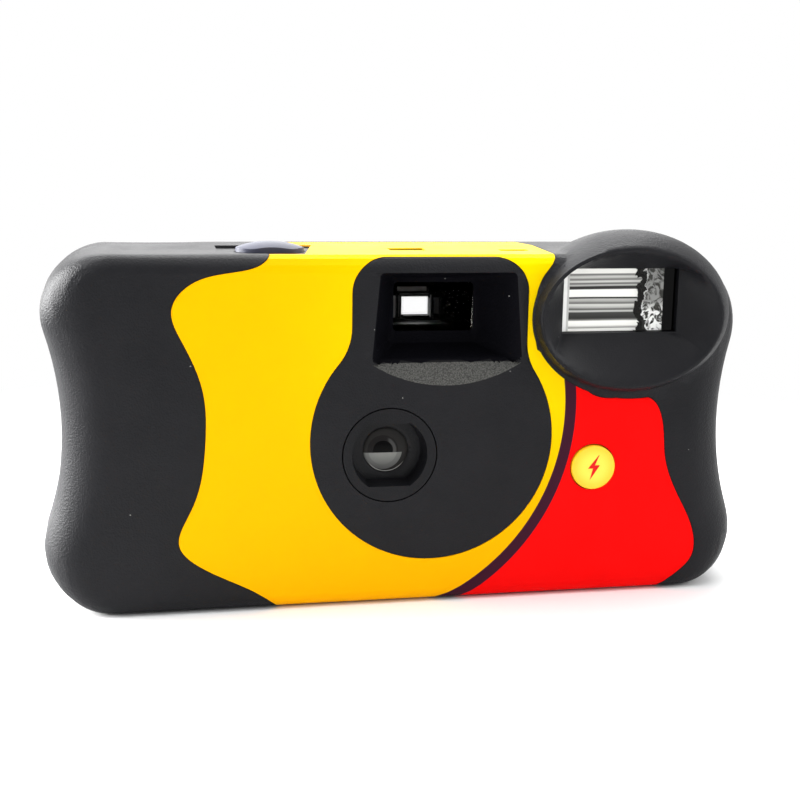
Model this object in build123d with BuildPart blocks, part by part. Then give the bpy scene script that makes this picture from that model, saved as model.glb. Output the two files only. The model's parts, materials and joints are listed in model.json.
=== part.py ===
"""Single-use film camera with flash, modelled as an assembly of separate pieces in millimetres.

The frame: +Z up, the front of the camera faces -Y, and the origin is the middle of the footprint on the
surface that the camera stands on. Depths are measured back from the front face of the case, as in at(depth).
Two moulded covers snap together over a frame that carries the film path, the wind and metering works above
it, the lens and shutter in front of it, and the flash works beside it, with the battery along the bottom.
"""

import os
from math import atan2, cos, degrees, hypot, pi, sqrt

from build123d import *

# Case
case_height = 58.0
case_depth = 29.0
seam_depth = 15.0
waist_width = 111.4
waist_radius = 52.0
waist_z = 30.0
corner_radius = 10.0
upper_right_radius = 13.0
side_round = 8.0
edge_round = 2.6
rear_side_round = 5.5
rear_edge_round = 2.8
draft = 0.4
wall = 1.6
overrun = 1.0
fit = 0.15
lip_height = 1.4
lip_thickness = 0.8
round_steps = 6

# Flash head, an oval barrel that stands out of the front face and above the top
head_proud = 3.0
rim_x = 35.6
rim_z = 47.6
rim_width = 31.2
rim_height = 23.0
barrel_x = 37.4
barrel_z = 47.6
barrel_width = 35.4
barrel_height = 27.2
barrel_depth = 4.0
barrel_tail_width = 31.0
barrel_tail_height = 21.0
rim_lip = 0.6
bowl_depth = 4.0
bowl_corners = (-32, 40, 140, 210, 328)
window_x = 34.8
window_z = 50.1
window_width = 19.8
window_height = 10.6
window_depth = 5.0

# Lens panel
lens_x = -3.65
lens_z = 25.4
retainer_radius = 7.65
retainer_thickness = 6.4
retainer_seat = 1.4
retainer_flange = 8.7
retainer_flange_thickness = 0.9
retainer_leg = 1.0
retainer_leg_share = 0.68
racetrack_taper = 8
groove = 0.22
racetrack_radius = 6.2
racetrack_height = 10.4
racetrack_depth = 3.4
cone_radius = 4.4
lens_radius = 4.4
lens_sag = 0.5
lens_edge = 0.7
rear_sag_share = 0.6
lens_hole_radius = 2.4

# Viewfinder
finder_x = 4.5
finder_z = 48.7
finder_width = 13.5
finder_height = 8.1
finder_round = 0.8
hood_depth = 6.4
hood_x = 4.4
hood_low = 36.6
hood_high = 57.2
hood_width = 28.6
hood_round = 5.5
hood_wall = 0.7
mouth_x = 5.6
mouth_low = 40.3
mouth_high = 54.9
mouth_width = 24.8
mouth_lean = 85
funnel_low = 42.9
funnel_high = 53.6
funnel_width = 15.4
hood_corner = 0.8
chin_depth = 1.5
chin_end = 0.3
front_lens_thickness = 2.3
front_lens_middle = 0.8
front_lens_curve = 19.0
rear_lens_thickness = 1.2
rear_lens_bulge = 0.5
finder_seat = 0.3
sight_gap = 0.45
eyepiece_z = 46.8
eyepiece_width = 7.8
eyepiece_height = 5.2
eyepiece_recess = 0.8
eyepiece_border = 1.6

# Keyhole panel and label
disc_x = 3.45
disc_z = 27.7
disc_radius = 20.0
keyhole_fillet = 9.0
label_thickness = 0.26
label_recess = 0.3
label_gap = 0.12
label_reach = 25.5
label_left_shares = ((-0.395, 1.05), (-0.42, 0.982), (-0.62, 0.926), (-0.685, 0.852), (-0.655, 0.76),
                     (-0.6, 0.615), (-0.598, 0.48), (-0.64, 0.3), (-0.676, 0.2), (-0.6, 0.125),
                     (-0.44, 0.042), (-0.36, -0.05))
label_right_shares = ((0.76, -0.05), (0.82, 0.034), (0.892, 0.105), (0.893, 0.165), (0.84, 0.28),
                      (0.785, 0.41), (0.77, 0.52), (0.735, 0.58), (0.63, 0.588), (0.52, 0.62))
label_flash_shares = ((0.37, 0.73), (0.359, 0.85), (0.385, 0.94), (0.42, 0.985), (0.4, 1.05))

# Film, its cartridge and its path
film_width = 35.0
film_thickness = 0.15
film_depth = 26.45
picture_width = 36.0
picture_height = 24.0
cartridge_x = -40.7
cartridge_depth = 14.6
cartridge_radius = 12.2
cartridge_skin = 0.35
cartridge_length = 43.0
cap_thickness = 1.0
cap_lip = 0.25
film_mouth = 1.6
spool_core = 5.6
spool_end_radius = 4.6
spool_bore = 2.9
spool_drop = 6.6
spool_key = 1.2
supply_x = 35.5
supply_depth = 17.5
roll_radius = 8.85
supply_core = 3.4
supply_flange = 6.0
supply_flange_thickness = 0.8
perforation_pitch = 4.75
perforation_width = 2.0
perforation_height = 2.8
perforation_edge = 2.0
perforation_count = 12

# Frame
plate = 1.2
chamber_wall = 0.8
chamber_gap = 0.35
gate_left = -34.0
gate_right = 30.6
gate_thickness = 1.3
film_gap = 0.2
deck_drop = 11.3
lens_board_depth = 7.4
lens_board_width = 27.0
lens_board_low = 17.2
cone_wall = 1.0
rib_width = 1.0
post_radius = 1.1
running = 0.06
collar_radius = 7.4
collar_gap = 0.2
cradle_rib_shares = (0.1, 0.5, 0.9)
cradle_rib_high = 12.0
link_depth = 5.8
link_z = 42.6

# Wind and metering works
wheel_radius = 12.0
wheel_key = 2.4
wheel_drop = 6.0
wheel_height = 3.0
wheel_teeth = 36
wheel_tooth = 0.6
wheel_play = 0.35
wheel_web = 1.4
wheel_rim = 2.0
sprocket_x = -21.5
sprocket_depth = 20.4
sprocket_teeth = 8
sprocket_tooth = 1.2
sprocket_tooth_width = 1.5
sprocket_tooth_angle = 82
sprocket_height = 2.0
sprocket_hub = 3.2
sprocket_play = 0.2
shaft_radius = 1.5
cam_drop = 7.0
cam_height = 1.3
cam_radius = 4.3
cam_notch = 1.4
finger_width = 1.6
finger_hub = 2.4
dial_x = -5.0
dial_depth = 15.8
dial_radius = 9.9
dial_drop = 3.5
dial_thickness = 0.7
dial_teeth = 40
dial_tooth = 0.5
works_cover_drop = 5.0
works_cover_thickness = 0.8
works_left = -28.0
works_cover_left = -27.6
works_right = -3.4
works_inset = 1.6
works_post_radius = 1.2
lever_thickness = 1.2
lever_width = 2.4
lever_hub = 2.2
metering_x = -14.0
metering_depth = 20.5
strike_x = -12.5
strike_depth = 13.0
strike_drop = 8.9
strike_tip_x = -5.4
strike_tip_depth = 7.0
strike_tip_radius = 0.6
wire_radius = 0.2
strike_coil_radius = 2.0
strike_coil_pitch = 0.85
strike_coil_turns = 2.25

# Shutter
blade_x = -7.5
blade_z = 37.0
blade_depth = 6.8
blade_thickness = 0.35
blade_head = 3.9
blade_arm = 2.6
blade_tab_width = 1.4
blade_drop = 7.5
blade_coil_radius = 1.6
blade_coil_pitch = 0.7
blade_coil_turns = 2.25

# Shutter button
button_x = -22.05
button_depth = 9.6
button_width = 11.0
button_length = 6.8
button_rise = 1.2
button_dome_x = 9.0
button_dome_depth = 6.4
button_dome_z = 5.0
button_travel = 1.2
button_flange = 0.5
button_flange_thickness = 0.8
button_stem_depth = 8.5
button_stem = 1.5
button_play = 0.2
plate_recess = 0.45
plate_left = -30.6
plate_right = -17.2
plate_front = 3.4
plate_back = 16.0
plate_slant = 2.6

# Top windows
counter_window_x = 0.4
counter_window_depth = 9.6
counter_window_width = 6.0
counter_window_length = 3.2
ready_x = 18.2
ready_depth = 8.0
ready_width = 4.8
ready_length = 2.0
insert_flange = 0.7
insert_thickness = 0.6
insert_gap = 0.05
top_slots = ((counter_window_x, counter_window_depth, counter_window_width, counter_window_length),
             (ready_x, ready_depth, ready_width, ready_length))
lamp_radius = 1.4
lamp_height = 6.0

# Flash works
charge_x = 30.9
charge_z = 22.3
charge_radius = 3.75
charge_proud = 0.5
charge_travel = 0.8
charge_flange = 0.7
charge_stem = 1.2
charge_length = 4.2
board_depth = 5.6
board_thickness = 1.2
board_left = 27.0
board_right = 50.4
board_low = 3.8
board_high = 42.4
battery_radius = 7.15
battery_length = 49.2
battery_nub = 1.2
battery_nub_radius = 2.7
battery_depth = 9.2
battery_z = 9.1
battery_left = -25.0
contact_thickness = 0.4
contact_width = 9.0
contact_height = 12.0
contact_strip = 2.4
contact_tab = 4.0
capacitor_x = 18.0
capacitor_depth = 9.4
capacitor_radius = 5.8
capacitor_low = 17.8
capacitor_height = 20.4
capacitor_crimp = 0.4
transformer_width = 6.8
transformer_height = 9.0
transformer_length = 7.0
transformer_z = 25.0
coil_place_share = 0.62
coil_radius = 2.2
coil_length = 7.0
reflector_skin = 0.4
reflector_length = 7.6
tube_radius = 1.5
tube_overhang = 2.6
lens_rib_count = 6
lens_rib = 0.35
flash_lens_thickness = 1.5
flash_lens_depth = 2.0
leaf_thickness = 0.3

# Film door in the foot
door_left = -53.6
door_right = -28.0
door_front = 4.2
door_back = 24.8
door_recess = 0.35
door_gap = 0.25
door_thickness = 1.2
door_high = 8.0
hinge_radius = 0.55
hinge_pin = 1.3

# Latches at the ends, and the finger scoop over the wheel
latch_low = 20.5
latch_high = 39.0
latch_reach = 4.4
latch_depth = 1.1
latch_gap = 0.35
scoop_radius = 20.0
scoop_depth = 25.4
scoop_rise = 18.2
scoop_z = 62.0
pressure_rib_shares = (-0.55, -0.3, -0.1, 0.1, 0.3, 0.55)

os.makedirs("parts", exist_ok=True)

front_y = -(case_depth - head_proud) / 2
deck_z = case_height - deck_drop
spool_top = case_height - spool_drop
wheel_low = case_height - wheel_drop
wheel_high = wheel_low + wheel_height
cam_low = case_height - cam_drop
dial_low = case_height - dial_drop
works_cover_low = case_height - works_cover_drop
strike_low = case_height - strike_drop
blade_top = case_height - blade_drop
gate_low = lens_z - film_width / 2 - 2 * plate
gate_high = deck_z - plate
gate_back = film_depth - film_gap
gate_front = gate_back - gate_thickness
left_chamber = cartridge_radius + chamber_gap
right_chamber = roll_radius + chamber_gap
cartridge_low = lens_z - cartridge_length / 2 - cap_thickness
cartridge_high = cartridge_low + cartridge_length + 2 * cap_thickness
sprocket_z = lens_z + film_width / 2 - perforation_edge - perforation_height / 2
sprocket_reach = film_depth - running - sprocket_depth
finger_reach = hypot(dial_x - sprocket_x, dial_depth - sprocket_depth) - dial_radius - 2 * running
battery_right = battery_left + battery_length
case_top_in = case_height - wall - draft
door_hinge_x = door_right - hinge_radius
door_hinge_z = door_recess + hinge_radius


def back_y(depth):
    """The Y of a point this far behind the front face."""
    return front_y + depth


def at(depth):
    """A sketch plane this far behind the front face, which it faces: sketch X is X and sketch Y is Z."""
    return Plane.XZ.offset(-back_y(depth))


def level(z):
    """A level sketch plane at this height: sketch X is X, sketch Y is Y."""
    return Plane.XY.offset(z)


def finish(piece, name):
    """Names a finished piece and writes its file."""
    piece.part.label = name
    export_step(piece.part, f"parts/{name}.step")


def bar(x, depth, z, mode=Mode.ADD):
    """A square-edged block between two values each of X, depth and Z."""
    with Locations(((x[0] + x[1]) / 2, back_y((depth[0] + depth[1]) / 2), (z[0] + z[1]) / 2)):
        Box(x[1] - x[0], depth[1] - depth[0], z[1] - z[0], mode=mode)


def post(x, depth, z, radius, mode=Mode.ADD):
    """An upright round post between two heights."""
    with Locations((x, back_y(depth), z[0])):
        Cylinder(radius, z[1] - z[0], align=(Align.CENTER, Align.CENTER, Align.MIN), mode=mode)


def peg(x, z, depth, radius, mode=Mode.ADD):
    """A round peg that points at the front, between two depths."""
    with Locations((x, back_y((depth[0] + depth[1]) / 2), z)):
        Cylinder(radius, depth[1] - depth[0], rotation=(90, 0, 0), mode=mode)


def rod(x, depth, z, radius, mode=Mode.ADD):
    """A round rod along X between two places."""
    with Locations(((x[0] + x[1]) / 2, back_y(depth), z)):
        Cylinder(radius, x[1] - x[0], rotation=(0, 90, 0), mode=mode)


def corner(side, rise, side_inset, edge_inset, full_radius):
    """One rounded corner of the case: its points on the waist, midway and on the level edge."""
    radius = full_radius - (side_inset + edge_inset) / 2
    reach = waist_radius + side_inset
    edge_z = case_height - edge_inset if rise > 0 else edge_inset
    centre_z = edge_z - rise * radius
    hollow_x = side * (waist_width / 2 + waist_radius)
    centre_x = hollow_x - side * sqrt((reach + radius) ** 2 - (centre_z - waist_z) ** 2)
    out_x = (hollow_x - centre_x) / (reach + radius)
    out_z = (waist_z - centre_z) / (reach + radius)
    mid_x = out_x
    mid_z = out_z + rise
    mid = hypot(mid_x, mid_z)
    on_waist = (centre_x + radius * out_x, centre_z + radius * out_z)
    midway = (centre_x + radius * mid_x / mid, centre_z + radius * mid_z / mid)
    return on_waist, midway, (centre_x, edge_z)


def case_section(depth, side_inset, top_inset, foot_inset):
    """The outline of the case at one depth, drawn in at the ends, along the top and along the foot."""
    corners = [
        corner(-1, -1, side_inset, foot_inset, corner_radius),
        corner(1, -1, side_inset, foot_inset, corner_radius),
        corner(1, 1, side_inset, top_inset, upper_right_radius),
        corner(-1, 1, side_inset, top_inset, corner_radius),
    ]
    waist_x = waist_width / 2 - side_inset
    with BuildSketch(at(depth)) as outline:
        with BuildLine():
            Line(corners[0][2], corners[1][2])
            ThreePointArc(corners[1][2], corners[1][1], corners[1][0])
            ThreePointArc(corners[1][0], (waist_x, waist_z), corners[2][0])
            ThreePointArc(corners[2][0], corners[2][1], corners[2][2])
            Line(corners[2][2], corners[3][2])
            ThreePointArc(corners[3][2], corners[3][1], corners[3][0])
            ThreePointArc(corners[3][0], (-waist_x, waist_z), corners[0][0])
            ThreePointArc(corners[0][0], corners[0][1], corners[0][2])
        make_face()
    return outline.sketch


def rounded_in(depth, radius):
    """How far a quarter-round edge is drawn in at this distance from its face."""
    return radius - sqrt(radius ** 2 - (radius - depth) ** 2) if depth < radius else 0


def half_body(inset, side, edge, face_depth):
    """Half of the case from its outer face to the seam, smaller all round by an inset."""
    span = abs(face_depth - seam_depth)
    toward = 1 if face_depth < seam_depth else -1
    depths = [(side - inset) * (1 - cos(pi / 2 * k / round_steps)) for k in range(round_steps + 1)]
    sections = []
    for depth in depths:
        taper = draft * (span - inset - depth) / span
        side_in = inset + rounded_in(depth, side - inset)
        edge_in = inset + rounded_in(depth, edge - inset)
        sections.append(case_section(face_depth + toward * (inset + depth),
                                     side_in + taper, edge_in + taper, edge_in))
    sections.append(case_section(seam_depth, inset, inset, inset))
    return loft(sections, ruled=True, mode=Mode.PRIVATE)


def front_half(inset=0):
    """The front half of the case, drawn in by an inset."""
    return half_body(inset, side_round, edge_round, 0)


def rear_half(inset=0):
    """The rear half of the case, drawn in by an inset."""
    return half_body(inset, rear_side_round, rear_edge_round, case_depth)


def oval(depth, x, z, width, height):
    """An oval across the flash head at one depth."""
    with BuildSketch(at(depth)) as outline:
        with Locations((x, z)):
            Ellipse(width / 2, height / 2)
    return outline.sketch


def barrel(inset=0):
    """The flash head's barrel, drawn in by an inset."""
    grow = 2 * inset
    middle_depth = barrel_depth / 3
    sections = [
        oval(inset - head_proud, rim_x, rim_z, rim_width - grow, rim_height - grow),
        oval(middle_depth, (rim_x + 3 * barrel_x) / 4, (rim_z + 3 * barrel_z) / 4,
             (rim_width + 3 * barrel_width) / 4 - grow, (rim_height + 3 * barrel_height) / 4 - grow),
        oval(barrel_depth, barrel_x, barrel_z, barrel_width - grow, barrel_height - grow),
        oval(seam_depth, barrel_x, barrel_z, barrel_tail_width - grow, barrel_tail_height - grow),
    ]
    return loft(sections, mode=Mode.PRIVATE)


def keyhole(grow=0):
    """The black keyhole panel: the disc round the lens joined to the viewfinder hood."""
    with BuildSketch(at(-overrun)) as panel:
        with Locations((disc_x, disc_z)):
            Circle(disc_radius + grow)
        with Locations((hood_x, (disc_z + hood_high) / 2)):
            RectangleRounded(hood_width + 2 * grow, hood_high - disc_z + 2 * grow, hood_round)
        necks = panel.vertices().filter_by(
            lambda v: hood_low < v.Y < hood_high - 2 * hood_round and abs(v.X - hood_x) > mouth_width / 2)
        fillet(necks, radius=keyhole_fillet)
    return panel.sketch


def drawn_in(shares, shrink):
    """The points of one side of the label, each moved to the left of its run by the shrink."""
    points = [(waist_width / 2 * x, case_height * z) for x, z in shares]
    moved = []
    for k, (x, z) in enumerate(points):
        before = points[max(k - 1, 0)]
        after = points[min(k + 1, len(points) - 1)]
        run_x = after[0] - before[0]
        run_z = after[1] - before[1]
        run = hypot(run_x, run_z)
        moved.append((x - shrink * run_z / run, z + shrink * run_x / run))
    return moved


def label_outline(depth, shrink=0):
    """The die-cut outline of the label at one depth, before the panel and the flash head are cut out."""
    left = drawn_in(label_left_shares, shrink)
    right = drawn_in(label_right_shares, shrink)
    flash = drawn_in(label_flash_shares, shrink)
    with BuildSketch(at(depth)) as outline:
        with BuildLine():
            Spline(*left)
            Line(left[-1], right[0])
            Spline(*right)
            Line(right[-1], flash[0])
            Spline(*flash)
            Line(flash[-1], left[0])
        make_face()
    return outline.sketch


def ellipsoid(x, depth, z, half_x, half_depth, half_z):
    """An ellipsoid with its three half sizes."""
    ball = scale(Sphere(1, mode=Mode.PRIVATE), by=(half_x, half_depth, half_z), mode=Mode.PRIVATE)
    return Pos(x, back_y(depth), z) * ball


def bowl(grow=0):
    """The shallow bowl from the flash head's oval rim down to its window, or the wall that backs it."""
    half_width = rim_width / 2 - rim_lip + grow
    half_height = rim_height / 2 - rim_lip + grow
    with BuildSketch(at(-head_proud)) as rim:
        with BuildLine():
            for start, end in zip(bowl_corners, bowl_corners[1:]):
                EllipticalCenterArc((rim_x, rim_z), half_width, half_height, start, arc_size=end - start)
        make_face()
    with BuildSketch(at(bowl_depth - head_proud + grow)) as floor:
        with Locations((window_x, window_z)):
            Rectangle(window_width + 2 * grow, window_height + 2 * grow)
    return loft([rim.sketch, floor.sketch], ruled=True, mode=Mode.PRIVATE)


def scoop(grow=0):
    """The finger scoop over the thumbwheel, or the wall that backs it."""
    ball = Sphere(scoop_radius + grow, mode=Mode.PRIVATE)
    return Pos(cartridge_x, back_y(scoop_depth + scoop_rise), scoop_z) * ball


def hood_section(depth, grow=0):
    """The opening of the viewfinder hood at one depth, from its wide mouth to the end of the funnel."""
    share = max(depth, 0) / hood_depth
    low = mouth_low + (funnel_low - mouth_low) * share - grow
    high = mouth_high + (funnel_high - mouth_high) * share + grow
    width = mouth_width + (funnel_width - mouth_width) * share + 2 * grow
    with BuildSketch(at(depth)) as outline:
        with Locations((mouth_x + (finder_x - mouth_x) * share, (low + high) / 2)):
            Trapezoid(width, high - low, mouth_lean)
        fillet(outline.vertices(), radius=hood_corner + grow)
    return outline.sketch


def chin_section(depth, high, low):
    """The sloped chin under the hood's mouth, as a bow that hangs from a level line."""
    with BuildSketch(at(depth)) as outline:
        with BuildLine():
            ThreePointArc((mouth_x - mouth_width / 2, high), (mouth_x, low),
                          (mouth_x + mouth_width / 2, high))
            Line((mouth_x + mouth_width / 2, high), (mouth_x - mouth_width / 2, high))
        make_face()
    return outline.sketch


def shutter_plate(z, grow=0):
    """The outline of the sunk panel round the shutter button, at one height."""
    with BuildSketch(level(z)) as outline:
        with BuildLine():
            Polyline((plate_left - grow, back_y(plate_back + grow)),
                     (plate_left - grow, back_y(plate_front + plate_slant)),
                     (plate_left + plate_slant, back_y(plate_front - grow)),
                     (plate_right + grow, back_y(plate_front - grow)),
                     (plate_right + plate_slant + grow, back_y(plate_back + grow)), close=True)
        make_face()
    return outline.sketch


def latch_tongue(side, grow=0):
    """The tongue of the back cover that reaches over the front cover at one end, or the room for it."""
    width = 2 * (latch_reach + grow)
    height = latch_high - latch_low + 2 * grow
    block = Pos(side * waist_width / 2, back_y(seam_depth), (latch_low + latch_high) / 2) \
        * Box(2 * corner_radius, width, height, mode=Mode.PRIVATE)
    skin = front_half() - front_half(latch_depth + grow)
    return block & skin


def label_zone(shrink=0):
    """The label's whole field: its outline less the panel and the flash head, from the face to its end."""
    grow = label_gap + shrink
    head = oval(-overrun, barrel_x, barrel_z, barrel_width + 2 * grow, barrel_height + 2 * grow)
    field = label_outline(-overrun, shrink) - keyhole(shrink) - head
    return extrude(field, amount=-(label_reach - shrink + overrun), mode=Mode.PRIVATE)


def case_body(inset):
    """Both halves of the case as one solid, drawn in by an inset."""
    return front_half(inset) + rear_half(inset)


# The recess that the covers keep for the label
inner_case = case_body(label_recess)
label_bed = label_zone() - inner_case

# The front cover, with the flash head, the viewfinder hood and the openings in its face and top
with BuildPart() as front_cover:
    add(front_half())
    add(barrel())
    hollow = front_half(wall) + barrel(wall) - bowl(wall)
    add(hollow, mode=Mode.SUBTRACT)
    lip = case_section(seam_depth, wall - lip_thickness, wall - lip_thickness, wall - lip_thickness)
    extrude(lip, amount=-lip_height)
    bore = case_section(seam_depth, wall, wall, wall)
    extrude(bore, amount=-lip_height, mode=Mode.SUBTRACT)
    bar((window_x - window_width / 2 - hood_wall, window_x + window_width / 2 + hood_wall),
        (-head_proud + bowl_depth / 2, window_depth),
        (window_z - window_height / 2 - hood_wall, window_z + window_height / 2 + hood_wall))
    add(bowl(), mode=Mode.SUBTRACT)
    bar((window_x - window_width / 2, window_x + window_width / 2), (-head_proud, window_depth + overrun),
        (window_z - window_height / 2, window_z + window_height / 2), mode=Mode.SUBTRACT)
    loft([hood_section(wall / 2, hood_wall), hood_section(hood_depth, hood_wall)])
    extrude(hood_section(hood_depth, hood_wall), amount=-hood_wall)
    loft([hood_section(0), hood_section(hood_depth)], mode=Mode.SUBTRACT)
    extrude(hood_section(0), amount=overrun, mode=Mode.SUBTRACT)
    with BuildSketch(at(hood_depth - overrun)) as finder_hole:
        with Locations((finder_x, finder_z)):
            RectangleRounded(finder_width, finder_height, finder_round)
    extrude(amount=-(hood_wall + 2 * overrun), mode=Mode.SUBTRACT)
    sill = mouth_low + (funnel_low - mouth_low) * chin_depth / hood_depth
    loft([chin_section(0, mouth_low, hood_low), chin_section(chin_depth, sill, sill - chin_end)],
         mode=Mode.SUBTRACT)
    peg(lens_x, lens_z, (-overrun, wall + overrun), retainer_radius + groove, mode=Mode.SUBTRACT)
    peg(charge_x, charge_z, (-overrun, wall + overrun), charge_radius + button_play, mode=Mode.SUBTRACT)
    extrude(shutter_plate(case_height - plate_recess), amount=overrun, mode=Mode.SUBTRACT)
    with BuildSketch(level(case_height - 2 * wall)) as button_hole:
        with Locations((button_x, back_y(button_depth))):
            SlotOverall(button_width + 2 * button_play, button_length + 2 * button_play)
    extrude(amount=2 * wall + overrun, mode=Mode.SUBTRACT)
    for x, depth, width, length in top_slots:
        bar((x - width / 2, x + width / 2), (depth - length / 2, depth + length / 2),
            (case_height - 2 * wall, case_height + overrun), mode=Mode.SUBTRACT)
    for side in (-1, 1):
        add(latch_tongue(side, latch_gap), mode=Mode.SUBTRACT)
    bar((door_left - door_gap, door_right + door_gap),
        (door_front - door_gap, seam_depth + lip_height + overrun),
        (-overrun, door_high + door_gap), mode=Mode.SUBTRACT)
    peg(door_hinge_x, door_hinge_z, (door_front - hinge_pin, door_front), hinge_radius + running,
        mode=Mode.SUBTRACT)
    add(label_bed, mode=Mode.SUBTRACT)
finish(front_cover, "front_cover")

# The back cover, with the finger scoop, the eyepiece, the end latches and the ribs that keep the film flat
with BuildPart() as back_cover:
    add(rear_half())
    hollow = rear_half(wall) - scoop(wall)
    add(hollow, mode=Mode.SUBTRACT)
    groove_in = wall - lip_thickness - fit
    extrude(case_section(seam_depth, groove_in, groove_in, groove_in), amount=-(lip_height + fit),
            mode=Mode.SUBTRACT)
    add(scoop(), mode=Mode.SUBTRACT)
    post(cartridge_x, cartridge_depth, (wheel_low - wheel_play, wheel_high + wheel_play),
         wheel_radius + wheel_play, mode=Mode.SUBTRACT)
    bar((finder_x - eyepiece_width / 2 - eyepiece_border, finder_x + eyepiece_width / 2 + eyepiece_border),
        (case_depth - eyepiece_recess, case_depth + overrun),
        (eyepiece_z - eyepiece_height / 2 - eyepiece_border,
         eyepiece_z + eyepiece_height / 2 + eyepiece_border), mode=Mode.SUBTRACT)
    bar((finder_x - eyepiece_width / 2, finder_x + eyepiece_width / 2),
        (case_depth - 2 * wall, case_depth + overrun),
        (eyepiece_z - eyepiece_height / 2, eyepiece_z + eyepiece_height / 2), mode=Mode.SUBTRACT)
    for share in pressure_rib_shares:
        rib_x = lens_x + picture_width * share
        bar((rib_x - rib_width / 2, rib_x + rib_width / 2),
            (film_depth + film_thickness + film_gap, case_depth - wall),
            (lens_z - film_width / 2, lens_z + film_width / 2))
    bar((door_left - door_gap, door_right + door_gap), (seam_depth - overrun, door_back + door_gap),
        (-overrun, door_high + door_gap), mode=Mode.SUBTRACT)
    peg(door_hinge_x, door_hinge_z, (door_back, door_back + hinge_pin), hinge_radius + running,
        mode=Mode.SUBTRACT)
    add(label_bed, mode=Mode.SUBTRACT)
    for side in (-1, 1):
        add(latch_tongue(side))
finish(back_cover, "back_cover")

# The label, one printed wrap that lies in its bed on the face, the top and the foot
with BuildPart() as label:
    add((case_body(label_recess - label_thickness) & label_zone(label_gap)) - inner_case)
    extrude(shutter_plate(case_height - wall, label_gap), amount=wall + overrun, mode=Mode.SUBTRACT)
    for x, depth, width, length in top_slots:
        bar((x - width / 2, x + width / 2), (depth - length / 2, depth + length / 2),
            (case_height - 2 * wall, case_height + overrun), mode=Mode.SUBTRACT)
    peg(charge_x, charge_z, (-overrun, wall), charge_radius + button_play, mode=Mode.SUBTRACT)
finish(label, "label")

# The lens retainer, a round plug with a racetrack recess and a cone down to the lens
with BuildPart() as lens_retainer:
    peg(lens_x, lens_z, (0, retainer_thickness), retainer_radius)
    peg(lens_x, lens_z, (wall + running, wall + running + retainer_flange_thickness), retainer_flange)
    leg_reach = retainer_leg_share * retainer_flange
    for side in (-1, 1):
        peg(lens_x + side * leg_reach, lens_z - leg_reach, (wall + running, lens_board_depth), retainer_leg)
    with BuildSketch(at(0)) as recess:
        with Locations((lens_x, lens_z)):
            Circle(racetrack_radius)
            Rectangle(2 * racetrack_radius, racetrack_height, mode=Mode.INTERSECT)
    extrude(amount=-racetrack_depth, taper=racetrack_taper, mode=Mode.SUBTRACT)
    with BuildSketch(at(racetrack_depth)) as cone_wide:
        with Locations((lens_x, lens_z)):
            Circle(cone_radius)
    with BuildSketch(at(retainer_thickness - retainer_seat)) as cone_narrow:
        with Locations((lens_x, lens_z)):
            Circle(lens_hole_radius)
    loft([cone_wide.sketch, cone_narrow.sketch], mode=Mode.SUBTRACT)
    peg(lens_x, lens_z, (retainer_thickness - retainer_seat, retainer_thickness + overrun),
        lens_radius + running, mode=Mode.SUBTRACT)
finish(lens_retainer, "lens_retainer")

# The taking lens, a meniscus seated in the back of the retainer
lens_front = retainer_thickness - retainer_seat + running
with BuildPart() as taking_lens:
    front_ball = (lens_radius ** 2 + lens_sag ** 2) / (2 * lens_sag)
    rear_sag = lens_sag * rear_sag_share
    rear_ball = (lens_radius ** 2 + rear_sag ** 2) / (2 * rear_sag)
    rim_depth = lens_front + lens_sag + lens_edge
    peg(lens_x, lens_z, (lens_front, rim_depth), lens_radius)
    with Locations((lens_x, back_y(lens_front + front_ball), lens_z)):
        Sphere(front_ball, mode=Mode.INTERSECT)
    with Locations((lens_x, back_y(rim_depth - rear_sag + rear_ball), lens_z)):
        Sphere(rear_ball, mode=Mode.SUBTRACT)
finish(taking_lens, "taking_lens")


front_lens_depth = hood_depth + hood_wall + insert_gap
front_lens_x = finder_width / 2 + finder_seat
front_lens_z = finder_height / 2 + finder_seat

# The front lens of the viewfinder, a block with a hollow rear face
with BuildPart() as viewfinder_front_lens:
    bar((finder_x - front_lens_x, finder_x + front_lens_x),
        (front_lens_depth, front_lens_depth + front_lens_thickness),
        (finder_z - front_lens_z, finder_z + front_lens_z))
    with Locations((finder_x, back_y(front_lens_depth + front_lens_middle + front_lens_curve), finder_z)):
        Sphere(front_lens_curve, mode=Mode.SUBTRACT)
finish(viewfinder_front_lens, "viewfinder_front_lens")

rear_lens_depth = case_depth - wall - rear_lens_thickness - insert_gap
rear_lens_x = eyepiece_width / 2 + finder_seat
rear_lens_z = eyepiece_height / 2 + finder_seat
rear_lens_curve = (rear_lens_x ** 2 + rear_lens_z ** 2 + rear_lens_bulge ** 2) / (2 * rear_lens_bulge)

# The rear lens of the viewfinder, a block with a bulged front face behind the eyepiece
with BuildPart() as viewfinder_rear_lens:
    bar((finder_x - rear_lens_x, finder_x + rear_lens_x),
        (rear_lens_depth - rear_lens_bulge, rear_lens_depth + rear_lens_thickness),
        (eyepiece_z - rear_lens_z, eyepiece_z + rear_lens_z))
    with Locations((finder_x, back_y(rear_lens_depth - rear_lens_bulge + rear_lens_curve), eyepiece_z)):
        Sphere(rear_lens_curve, mode=Mode.INTERSECT)
finish(viewfinder_rear_lens, "viewfinder_rear_lens")


def centred_box(depth, width, height):
    """A rectangle across the lens axis at one depth."""
    with BuildSketch(at(depth)) as outline:
        with Locations((lens_x, lens_z)):
            Rectangle(width, height)
    return outline.sketch


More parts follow.
